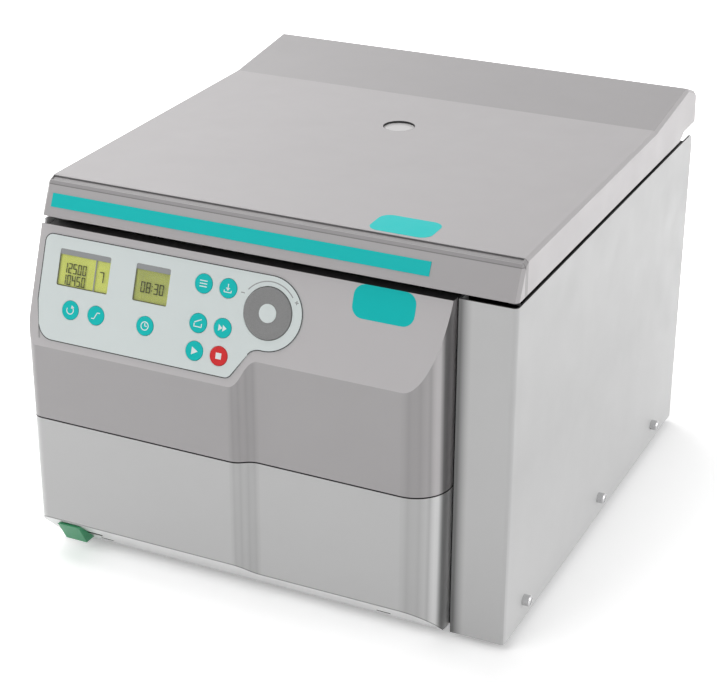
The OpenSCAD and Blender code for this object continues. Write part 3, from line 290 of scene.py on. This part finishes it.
def painted_light_level(m, upright, slots=()):
    """Painted highlight and shade bands across, painted bounce light on the undercut, a fine line
    above it, painted black shade on seam edges and in slots, and painted shade on the upright face.
    """
    nz = m.normal(2)
    above = m.math("ADD", m.math("ADD", m.axis(1), m.axis(2)), UNDERCUT)
    level = m.steps(m.normal(0), PAINTED_SHEEN_BANDS)
    lip = m.under(nz, UPRIGHT[0])
    away = m.math("ABSOLUTE", m.math("SUBTRACT", m.axis(2), SEAM_MID))
    seam = m.product(m.over(nz, SEAM_FROM), m.over(away, SEAM_REACH))
    face = m.product(m.under(nz, UPRIGHT[1]), m.over(nz, UPRIGHT[0]))
    line = m.product(face, m.under(above, LINE[1]), m.over(above, LINE[0]))
    shares = [(lip, LIP_PAINTED_LIGHT), (seam, SEAM_PAINTED_SHADE), (face, upright), (line, LINE_TONE)]
    for x, z in slots:
        hole = m.product(m.within(m.axis(0), x, SLOT_HALF[0]), m.within(m.axis(2), z, SLOT_HALF[1]),
                         m.over(nz, SLOT_FROM))
        shares.append((hole, SLOT_PAINTED_SHADE))
    for mask, share in shares:
        level = m.product(level, m.ramp(mask, 0, 1, 1.0, share))
    return level


def upper_painted_light(m):
    return painted_light_level(m, UPRIGHT_PAINTED_SHADE)


def lower_painted_light(m):
    return painted_light_level(m, 1.0, SLOTS)


put(surface("cabinet_paint_look", (216, 216, 216), 0.42, **SATIN), "side_panel_left", "rear_panel")
put(surface("column_painted_light_look", (201, 201, 201), 0.42, level=column_painted_light, **SATIN),
    "side_panel_right")
put(surface("upper_panel_look", (196, 193, 194), 0.42, level=upper_painted_light, **SATIN), "console_panel")
put(surface("lower_panel_look", (200, 200, 200), 0.38, level=lower_painted_light, **SATIN), "lower_panel")

LID_RGB = (173, 170, 171)
# The lid's ridge starts here and is darker
CREASE = 0.114
RIDGE_TONE = (0.8, 0.83)
# Groove below the lid's front top edge, its floor, and how much painted shade darkens floor and walls
GROOVE = (-0.1908, -0.1859)
GROOVE_FLOOR = (-0.1902, -0.1866)
GROOVE_PAINTED_SHADE = (0.3, 0.55)
# Strip of painted shade along the top of the lid's front face, with a fine line below it
FRONT_FACE = -0.1905
STRIP_LOW = 0.3152
STRIP_PAINTED_SHADE = 0.24
RULE_AT = 0.3150
RULE_HALF = 0.0004
RULE_DEPTH = 0.5
# The lid's flanks are paler by painted light, by the way they face across
FLANK_PAINTED_LIGHT = [(-1.0, 1.4), (-0.6, 1.2), (-0.2, 1.0), (0.2, 1.0), (0.6, 1.2), (1.0, 1.4)]
# The wall of the sight port's opening is painted black as shade, reaching this far out from the port
PORT_RIM = 0.0003
PORT_WALL_SHADE_RGB = (16, 16, 17)


def lid_look():
    m = Mat("lid_look")
    x, y, z = (m.axis(i) for i in range(3))
    base = lin(LID_RGB)
    ridge = m.product(m.over(y, CREASE), m.over(m.normal(2), FACES_UP))
    cloud = m.ramp(m.noise(5, 5), *NOISE)
    fine = m.noise(2600, 3)
    pale = m.mix(cloud, times(base, 0.985), times(base, 1.015))
    darker = m.mix(cloud, times(base, RIDGE_TONE[0]), times(base, RIDGE_TONE[1]))
    in_groove = m.product(m.over(y, GROOVE[0]), m.under(y, GROOVE[1]))
    walls = m.most(m.over(y, GROOVE_FLOOR[1]), m.under(y, GROOVE_FLOOR[0]))
    groove = m.product(in_groove, m.ramp(walls, 0, 1, *GROOVE_PAINTED_SHADE))
    ahead = m.under(y, FRONT_FACE)
    strip = m.product(ahead, m.over(z, STRIP_LOW), STRIP_PAINTED_SHADE)
    rule = m.product(m.within(z, RULE_AT, RULE_HALF), RULE_DEPTH, ahead)
    low = m.most(groove, m.most(strip, rule))
    port_lo, port_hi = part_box("sight_port")
    back = m.math("SUBTRACT", y, (port_lo[1] + port_hi[1]) / 2)
    far = m.math("SQRT", m.math("ADD", m.product(x, x), m.product(back, back)))
    rim = m.under(far, (port_hi[0] - port_lo[0]) / 2 + PORT_RIM)
    tone = m.mix(low, m.mix(ridge, pale, darker), (0, 0, 0, 1))
    tone = m.shade(tone, m.steps(m.normal(0), FLANK_PAINTED_LIGHT))
    m.colour(m.mix(rim, tone, lin(PORT_WALL_SHADE_RGB)))
    m.rough(m.ramp(m.noise(30, 4), *NOISE, 0.36, 0.46))
    m.bump(fine, 0.05, 0.00005)
    return m


put(lid_look(), "lid_shell")
put(surface("liner_look", (196, 196, 195), 0.45, **SATIN), "lid_liner")
# Deck and front frame are coloured black: painted shade in the gap under the lid
put(surface("deck_shade_black_look", (22, 22, 23), 0.55, vary=0.1, grain=1500, bump=0.12, spec=0.25),
    "top_deck", "front_frame")
put(surface("zinc_look", (150, 152, 154), 0.38, metal=0.85, vary=0.12, scale=60, grain=500, bump=0.1),
    "base_pan", "motor_plate", "hinge_brackets", "lid_hinge_arms", "lock_case")
put(surface("brushed_look", (190, 191, 192), 0.26, metal=1.0, vary=0.06, scale=20, grain=700,
            stretch=(1, 1, 14), bump=0.08, depth=0.00005),
    "chamber_bowl", "motor_shaft", "motor_bearings", "hinge_pins", "strut_rod_right",
    "strut_rod_left", "latch_bar", "lid_strikers")
put(surface("turned_look", (188, 190, 192), 0.32, metal=0.95, vary=0.05, scale=30, grain=800,
            stretch=(1, 1, 10), bump=0.08, depth=0.00005),
    "rotor_yoke", "bucket_1", "bucket_2", "bucket_3", "bucket_4")
put(surface("guard_look", (112, 112, 114), 0.6, metal=0.2, vary=0.1, grain=300, bump=0.25),
    "guard_ring")
put(surface("motor_look", (70, 72, 75), 0.5, metal=0.2, vary=0.1, grain=400, bump=0.3),
    "motor_housing")
put(surface("rubber_look", (34, 34, 35), 0.75, vary=0.15, grain=1200, bump=0.2, spec=0.3),
    "chamber_seal", "motor_mounts", "shaft_seal", "feet")
put(surface("black_plastic_look", (30, 30, 32), 0.45, vary=0.12, grain=1600, bump=0.1),
    "dial_encoder", "rotor_nut", "power_entry", "rocker_switch", "strut_cylinder_right",
    "strut_cylinder_left")
put(surface("board_look", (20, 92, 50), 0.5, vary=0.12, scale=120, grain=700, bump=0.1),
    "control_board", "drive_board")
put(surface("foil_look", PALE, 0.4, **SILK), "keypad_foil")
put(surface("teal_key_look", (18, 198, 195), 0.42, **SOFT),
    "key_speed", "key_ramp", "key_time", "key_program", "key_save", "key_lid", "key_pulse",
    "key_start")
put(surface("red_key_look", (222, 52, 54), 0.42, **SOFT), "key_stop")
put(surface("teal_band_look", TEAL, 0.42, **SOFT), "accent_stripe")
put(surface("green_tab_look", (58, 150, 104), 0.4, vary=0.05, grain=1500, bump=0.06),
    "release_tab")
put(surface("screw_look", (205, 205, 206), 0.25, metal=0.9, vary=0.05, grain=900, bump=0.05),
    "side_screws")


def dial_look():
    m = Mat("dial_look")
    base = lin((134, 134, 134))
    grit = m.noise(1500, 4)
    m.colour(m.mix(m.ramp(grit, *NOISE), times(base, 0.9), times(base, 1.1)))
    m.rough(0.42)
    m.bump(grit, 0.1, 0.0001)
    return m


def lcd_look():
    m = Mat("lcd_look")
    m.colour(m.mix(m.ramp(m.noise(40, 3), *NOISE), lin((214, 222, 82)), lin((222, 230, 94))))
    m.rough(0.3)
    m.bump(m.noise(3000, 2), 0.05, 0.00003)
    return m


def clear_look(name, colour, rough, alpha=1.0):
    """Clear or tinted plastic with a slightly uneven gloss."""
    m = Mat(name)
    m.colour(colour)
    m.p.inputs["Alpha"].default_value = alpha
    m.rough(m.ramp(m.noise(60, 3), *NOISE, *rough))
    return m


put(dial_look(), "dial_knob")
put(surface("dial_cap_look", PALE, 0.4, **SILK), "dial_cap")
put(lcd_look(), "speed_display", "time_display")
put(clear_look("clear_look", (0.9, 0.93, 0.85, 1), (0.08, 0.16), 0.1), "display_windows")
put(clear_look("port_look", lin((196, 194, 194)), (0.2, 0.3)), "sight_port")

# Small pieces. On the console a point is mm across, mm down the slope and mm out of the face.
ORIGIN = Vector((0, -0.2005, 0.284))
LEAN = math.radians(20)
UP = Vector((0, math.sin(LEAN), math.cos(LEAN)))
OUT = Vector((0, -math.cos(LEAN), math.sin(LEAN)))


def on_console(a, b, h):
    return ORIGIN + Vector((a * MM, 0, 0)) - UP * b * MM + OUT * h * MM


def solid(name, loops, levels, to, m, body):
    """Flat pieces given as outlines, between two heights, placed by to(a, b, height)."""
    bm = bmesh.new()
    for loop in loops:
        bottom, top = ([bm.verts.new(to(a, b, h)) for a, b in loop] for h in levels)
        bm.faces.new(bottom[::-1])
        bm.faces.new(top)
        for i in range(len(loop)):
            j = (i + 1) % len(loop)
            bm.faces.new((bottom[i], bottom[j], top[j], top[i]))
    bmesh.ops.recalc_face_normals(bm, faces=bm.faces)
    me = bpy.data.meshes.new(name)
    bm.to_mesh(me)
    bm.free()
    o = bpy.data.objects.new(name, me)
    scene.collection.objects.link(o)
    me.materials.append(m.m)
    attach(o, body)


def bar(x0, v0, x1, v1, w):
    """A straight stroke of width w."""
    dx, dv = x1 - x0, v1 - v0
    k = w / 2 / math.hypot(dx, dv)
    nx, nv = -dv * k, dx * k
    return [(x0 + nx, v0 + nv), (x1 + nx, v1 + nv), (x1 - nx, v1 - nv), (x0 - nx, v0 - nv)]


def rect(x0, v0, x1, v1):
    return [(x0, v0), (x1, v0), (x1, v1), (x0, v1)]


def rounded(x0, v0, x1, v1, r, n=8):
    """A rectangle with round corners of n steps."""
    corners = ((x1 - r, v1 - r, 0), (x0 + r, v1 - r, 90), (x0 + r, v0 + r, 180),
               (x1 - r, v0 + r, 270))
    pts = []
    for cx, cv, start in corners:
        for i in range(n + 1):
            a = math.radians(start + 90 * i / n)
            pts.append((cx + r * math.cos(a), cv + r * math.sin(a)))
    return pts


def arc(x, v, r, a0, a1, w, n=20):
    """Strokes along an arc. Angles from +x, towards down the slope."""
    out = []
    for i in range(n):
        a, b = (math.radians(a0 + (a1 - a0) * k / n) for k in (i, i + 1))
        ends = ((r - w / 2, a), (r + w / 2, a), (r + w / 2, b), (r - w / 2, b))
        out.append([(x + q * math.cos(t), v + q * math.sin(t)) for q, t in ends])
    return out


def printed(name, rgb, rough):
    return surface(name, rgb, rough, **SATIN)


white_print = printed("white_print_look", (236, 242, 241), 0.45)
slot_shade_print = printed("slot_shade_look", (70, 72, 74), 0.5)
ink = printed("lcd_ink_look", (66, 70, 26), 0.45)
head_print = printed("display_band_look", (150, 152, 153), 0.45)
grey_print = printed("grey_print_look", (158, 161, 161), 0.5)
foil_dark_edge = printed("foil_dark_edge_look", (50, 54, 55), 0.5)
lcd_shadow_print = printed("lcd_shadow_look", (96, 98, 62), 0.5)

# Generic signs on the keys: the middles of the keys, then each sign's strokes about its middle
SINK = 0.02
KEY_TOP = 1.1
KEYS = {
    "speed": (-165.0, 63.6), "ramp": (-141.5, 63.6), "time": (-97.0, 63.6),
    "program": (-51.5, 22.5), "save": (-30.3, 22.5), "lid": (-51.5, 53.0),
    "pulse": (-30.3, 53.0), "start": (-51.5, 74.5), "stop": (-30.3, 74.5),
}
W = 0.75
SIGNS = {
    "speed": arc(0, 0, 3.0, -60, 210, W) + [[(1.0, -4.2), (3.6, -2.4), (0.6, -1.4)]],
    "ramp": [bar(-3.6, 2.6, -1.2, 2.6, W), bar(-1.3, 2.7, 1.2, -2.3, W),
             bar(1.1, -2.3, 3.6, -2.3, W)],
    "time": arc(0, 0, 3.2, 0, 360, W, 28) + [bar(0, 0.3, 0, -2.2, W), bar(-0.3, 0, 1.9, 0, W)],
    "program": [bar(-3.2, s, 3.2, s, W) for s in (-2.2, 0, 2.2)],
    "save": [bar(0, -3.4, 0, 0.6, W), [(-1.8, -0.4), (1.8, -0.4), (0, 1.9)],
             bar(-3.2, 3.0, 3.2, 3.0, W), bar(-3.0, 1.4, -3.0, 3.2, W),
             bar(3.0, 1.4, 3.0, 3.2, W)],
    "lid": [bar(-3.4, 2.8, 3.4, 2.8, W), bar(-3.2, 0.2, -3.2, 2.8, W),
            bar(3.2, 0.2, 3.2, 2.8, W), bar(-3.2, -0.4, 2.8, -3.2, W)],
    "pulse": [[(-3.4, -2.6), (0, 0), (-3.4, 2.6)], [(0.2, -2.6), (3.6, 0), (0.2, 2.6)]],
    "start": [[(-2.2, -3.1), (3.2, 0), (-2.2, 3.1)]],
    "stop": [rect(-2.4, -2.4, 2.4, 2.4)],
}
for key, (kx, kv) in KEYS.items():
    solid("sign_" + key, [[(kx + a, kv + b) for a, b in loop] for loop in SIGNS[key]],
          (KEY_TOP - SINK, KEY_TOP + 0.04), on_console, white_print, "key_cap_" + key)

# Bars of each digit: a top, b and c right, d bottom, e and f left, g middle
BARS = {"0": "abcdef", "1": "bc", "2": "abdeg", "3": "abcdg", "4": "bcfg", "5": "acdfg",
        "7": "abc", "8": "abcdefg"}
# Where the dots of a colon sit, as shares of the height
DOTS = (0.28, 0.66)


def digits(text, x, v, h, w, gap, t):
    """Digits from x and v on, h high and w wide, with strokes of width t."""
    out = []
    for ch in text:
        if ch == ":":
            out += [rect(x, v + h * dot, x + t, v + h * dot + t) for dot in DOTS]
            x += t + gap
            continue
        middle, e = v + h / 2, t * 0.2
        shape = {
            "a": rect(x + e, v, x + w - e, v + t),
            "b": rect(x + w - t, v + e, x + w, middle - e),
            "c": rect(x + w - t, middle + e, x + w, v + h - e),
            "d": rect(x + e, v + h - t, x + w - e, v + h),
            "e": rect(x, middle + e, x + t, v + h - e),
            "f": rect(x, v + e, x + t, middle - e),
            "g": rect(x + e, middle - t / 2, x + w - e, middle + t / 2),
        }
        out += [shape[s] for s in BARS[ch]]
        x += w + gap
    return out


# The displays: height of the windows' face, their sides, and their top, head line and bottom
GLASS = 0.3
WINDOWS = ((-180.9, -134.9), (-111.4, -81.1))
TOP, HEAD, BOTTOM = 16.7, 21.0, 45.7
DIVIDER = (-147.7, -146.7)
# Width of the painted shadow strips along the windows' left and bottom edges
EDGE_SHADOW_W = 0.7
# Text, across, down, height, width, gap and stroke
TEXTS = (("12500", -176.3, 27.2, 8.0, 3.3, 1.05, 0.8), ("10450", -176.3, 36.4, 8.0, 3.3, 1.05, 0.8),
         ("7", -143.4, 29.2, 8.6, 4.2, 1.2, 0.85), ("08:30", -105.6, 30.0, 8.4, 3.7, 1.15, 0.85))
heads = [rect(x0, TOP, x1, HEAD) for x0, x1 in WINDOWS]
heads.append(rect(DIVIDER[0], HEAD, DIVIDER[1], BOTTOM))
edges = []
for x0, x1 in WINDOWS:
    edges += [rect(x0, HEAD, x0 + EDGE_SHADOW_W, BOTTOM), rect(x0 + EDGE_SHADOW_W, BOTTOM - EDGE_SHADOW_W, x1, BOTTOM)]
solid("display_digits", [loop for text in TEXTS for loop in digits(*text)],
      (GLASS - SINK, GLASS + 0.03), on_console, ink, "cabinet")
solid("display_bands", heads, (GLASS - SINK, GLASS + 0.05), on_console, head_print, "cabinet")
solid("display_edge_shadows", edges, (GLASS - SINK, GLASS + 0.04), on_console, lcd_shadow_print, "cabinet")


# A side of a foil faces out less than this
SIDE_TO = 0.3


def outline_of(name, out, clear_of):
    """The widest loop where a node's face towards out meets its sides, as mm on the console."""
    me = nodes[name].data
    key = [tuple(round(c / MICRON) for c in v.co) for v in me.vertices]
    use = {}
    for f in me.polygons:
        facing = f.normal.dot(out)
        top = facing > FACES_UP
        if top or abs(facing) < SIDE_TO:
            for i, j in f.edge_keys:
                use.setdefault(frozenset((key[i], key[j])), set()).add(top)
    near = {}
    for a, b in (k for k, v in use.items() if len(v) == 2 and len(k) == 2):
        if min((Vector(q) * MICRON - ORIGIN).dot(out) for q in (a, b)) > clear_of * MM:
            near.setdefault(a, []).append(b)
            near.setdefault(b, []).append(a)
    loops, seen = [], set()
    for first in sorted(near):
        loop, at = [], first
        while at is not None and at not in seen:
            seen.add(at)
            loop.append(at)
            at = next((n for n in sorted(near[at]) if n not in seen), None)
        if len(loop) > 2:
            pts = [Vector(q) * MICRON - ORIGIN for q in loop]
            loops.append([(q.x / MM, -q.dot(UP) / MM) for q in pts])
    return max(loops, key=lambda l: max(q[0] for q in l) - min(q[0] for q in l))


def inset(loop, d):
    """The loop moved inwards by d."""
    area = sum(a[0] * b[1] - b[0] * a[1] for a, b in zip(loop, loop[1:] + loop[:1]))
    turn = 1 if area > 0 else -1
    out = []
    for i, p in enumerate(loop):
        n = Vector((0, 0))
        for q0, q1 in ((loop[i - 1], p), (p, loop[(i + 1) % len(loop)])):
            e = Vector((q1[0] - q0[0], q1[1] - q0[1])).normalized()
            n += Vector((-e.y, e.x)) * turn
        n.normalize()
        out.append((p[0] + n.x * d, p[1] + n.y * d))
    return out


# Dark border of the keypad foil, whose top lies higher than FOIL_LOW
FOIL_LOW = 0.4
BORDER_OUT = 0.05
BORDER_W = 0.75
BORDER_LEVELS = (0.5, 0.63)
rim_out = inset(outline_of("keypad_foil", OUT, FOIL_LOW), -BORDER_OUT)
rim_in = inset(rim_out, BORDER_W)
border = []
for i in range(len(rim_out)):
    j = (i + 1) % len(rim_out)
    border.append([rim_out[i], rim_out[j], rim_in[j], rim_in[i]])
solid("foil_border", border, BORDER_LEVELS, on_console, foil_dark_edge, "cabinet")

# Plain scale round the dial's middle, from minus to plus
DIAL_AT = (5.3, 35.5)
SCALE_R = 24.2
SCALE_LEVELS = (0.58, 0.64)
marks = arc(*DIAL_AT, SCALE_R, -141, -39, 0.85, 30)
marks += [bar(-19.2, 23.4, -16.0, 23.4, 0.8), bar(26.2, 23.4, 29.4, 23.4, 0.8),
          bar(27.8, 21.8, 27.8, 25.0, 0.8)]
solid("dial_scale", marks, SCALE_LEVELS, on_console, grey_print, "cabinet")

# Plain teal grip marks on console and lid
MARK_LEVELS = (0.0, 0.12)
MARK_ROUND = 9
LID_EDGE = (18.6 - 203.5, 286 + 28.6 + 6)
LID_TILT = math.atan2(2.9, 298.9)


def on_lid(a, b, h):
    """mm across, mm behind the lid's front top edge and mm out of its top."""
    y = LID_EDGE[0] + b * math.cos(LID_TILT) - h * math.sin(LID_TILT)
    z = LID_EDGE[1] + b * math.sin(LID_TILT) + h * math.cos(LID_TILT)
    return Vector((a, y, z)) * MM


grip = surface("grip_mark_look", TEAL, 0.42, **SOFT)
solid("grip_mark_console", [rounded(72, 0.0, 122, 25.5, MARK_ROUND)], MARK_LEVELS, on_console, grip,
      "cabinet")
solid("grip_mark_lid", [rounded(72, 1.0, 122, 33.0, MARK_ROUND)], MARK_LEVELS, on_lid, grip, "lid")

# Black strip in the gap between the moulded front and the column: a sheet of painted shade
COLUMN_FACE = -203.5


def in_gap(a, b, h):
    """mm across, mm up and mm forward of the column's face."""
    return Vector((a, COLUMN_FACE - h, b)) * MM


gap_shade = surface("gap_shade_look", (20, 20, 21), 0.85, vary=0.2, grain=1800, bump=0.35, spec=0.2)
solid("gap_shade_strip", [rounded(150.15, 6.6, 154.85, 286.0, 1.0)], (-12.0, -10.0), in_gap, gap_shade, "cabinet")

# Slots of the side screws: how far out the heads reach, how far back and how high they sit
SCREW_OUT = 206.5
SCREW_BACK = (40, 218, 368)
SCREW_UP = 25
# Each slot is drawn as a dark stroke on the head: painted shade
for side, letter in ((-1, "l"), (1, "r")):
    for i, back in enumerate(SCREW_BACK):
        def on_side(a, b, h, back=back, side=side):
            return Vector((side * (SCREW_OUT + h), back + a + COLUMN_FACE, SCREW_UP + b)) * MM
        solid(f"screw_slot_{letter}{i}", [bar(-2, -2, 2, 2, 0.9)], (-SINK, 0.05), on_side, slot_shade_print,
              "cabinet")

# Stage: the floor's half sizes under the object, and how far out its glow reaches plain white
UNDER = (0.2, 0.23)
GLOW_REACH = 0.35
GLOW_NEAR = 0.34
FLOOR_PALE = 0.95
LIT_WORLD = 0.4
BACKDROP_RAYS = ("Is Camera Ray", "Is Glossy Ray", "Is Transmission Ray")


def floor_look():
    """Pale floor: it shows the shadow near the object and turns plain white further out."""
    m = Mat("floor_look")
    m.t.nodes.remove(m.p)
    beside, before = (m.math("SUBTRACT", m.math("ABSOLUTE", m.axis(i)), UNDER[i]) for i in (0, 1))
    glow = m.ramp(m.most(beside, before), 0.0, GLOW_REACH, GLOW_NEAR, 1.0)
    path = m.add("ShaderNodeLightPath")
    camera, glossy, through = (path.outputs[ray] for ray in BACKDROP_RAYS)
    seen = m.most(m.most(camera, glossy), through)
    pale = m.add("ShaderNodeBsdfDiffuse", Color=(FLOOR_PALE, FLOOR_PALE, FLOOR_PALE, 1))
    shine = m.add("ShaderNodeEmission")
    m.link(m.product(seen, glow), shine.inputs["Strength"])
    both = m.add("ShaderNodeAddShader")
    m.link(pale.outputs[0], both.inputs[0])
    m.link(shine.outputs[0], both.inputs[1])
    m.link(both.outputs[0], m.out.inputs["Surface"])
    return m


def studio_world():
    """A dim even light that shows as plain white behind the object and in its gloss."""
    world = bpy.data.worlds.new("studio")
    world.use_nodes = True
    tree = world.node_tree
    tree.nodes.clear()
    lit, shown = (tree.nodes.new("ShaderNodeBackground") for _ in range(2))
    for node, strength in ((lit, LIT_WORLD), (shown, 1.0)):
        node.inputs["Color"].default_value = (1, 1, 1, 1)
        node.inputs["Strength"].default_value = strength
    path = tree.nodes.new("ShaderNodeLightPath")
    seen = path.outputs[BACKDROP_RAYS[0]]
    for ray in BACKDROP_RAYS[1:]:
        either = tree.nodes.new("ShaderNodeMath")
        either.operation = "MAXIMUM"
        tree.links.new(seen, either.inputs[0])
        tree.links.new(path.outputs[ray], either.inputs[1])
        seen = either.outputs[0]
    mix = tree.nodes.new("ShaderNodeMixShader")
    tree.links.new(seen, mix.inputs[0])
    tree.links.new(lit.outputs[0], mix.inputs[1])
    tree.links.new(shown.outputs[0], mix.inputs[2])
    out = tree.nodes.new("ShaderNodeOutputWorld")
    tree.links.new(mix.outputs[0], out.inputs["Surface"])
    return world


def lamp(name, at, aim, size, watts):
    d = bpy.data.lights.new(name, "AREA")
    d.shape = "RECTANGLE"
    d.size, d.size_y = size
    d.energy = watts
    o = bpy.data.objects.new(name, d)
    scene.collection.objects.link(o)
    o.location = at
    o.rotation_mode = "QUATERNION"
    o.rotation_quaternion = (Vector(aim) - Vector(at)).to_track_quat("-Z", "Y")


bpy.ops.mesh.primitive_plane_add(size=14, location=(0, 0, 0))
floor = bpy.context.object
floor.name = "stage_floor"
floor.data.materials.append(floor_look().m)
scene.world = studio_world()
lamp("top_soft", (-1.0, 0.5, 1.9), (0, 0, 0.25), (1.8, 1.8), 26)
lamp("right_soft", (2.3, 0.3, 0.7), (0, 0, 0.15), (1.6, 1.4), 14)
lamp("front_soft", (-0.9, -1.65, 1.85), (0, 0, 0.2), (1.4, 1.2), 15.5)

# Camera, fitted to the edges and corners in the photo
CAMERA_AT = Vector((618.859, -1347.887, 827.719)) * MM
FORWARD = Vector((-0.38862312, 0.81911474, -0.42192785))
RIGHT = Vector((0.90283569, 0.42997408, 0.00316473))
FOCAL_PX = 1888.72
PHOTO_W = 717
SENSOR = 36
cam = bpy.data.cameras.new("cam")
cam_o = bpy.data.objects.new("cam", cam)
scene.collection.objects.link(cam_o)
scene.camera = cam_o
upward = RIGHT.cross(FORWARD)
cam_o.matrix_world = Matrix((
    (RIGHT.x, upward.x, -FORWARD.x, CAMERA_AT.x),
    (RIGHT.y, upward.y, -FORWARD.y, CAMERA_AT.y),
    (RIGHT.z, upward.z, -FORWARD.z, CAMERA_AT.z),
    (0, 0, 0, 1)))
cam.sensor_width = SENSOR
cam.lens = FOCAL_PX / PHOTO_W * SENSOR
cam.clip_end = 50

scene.view_settings.view_transform = "Standard"
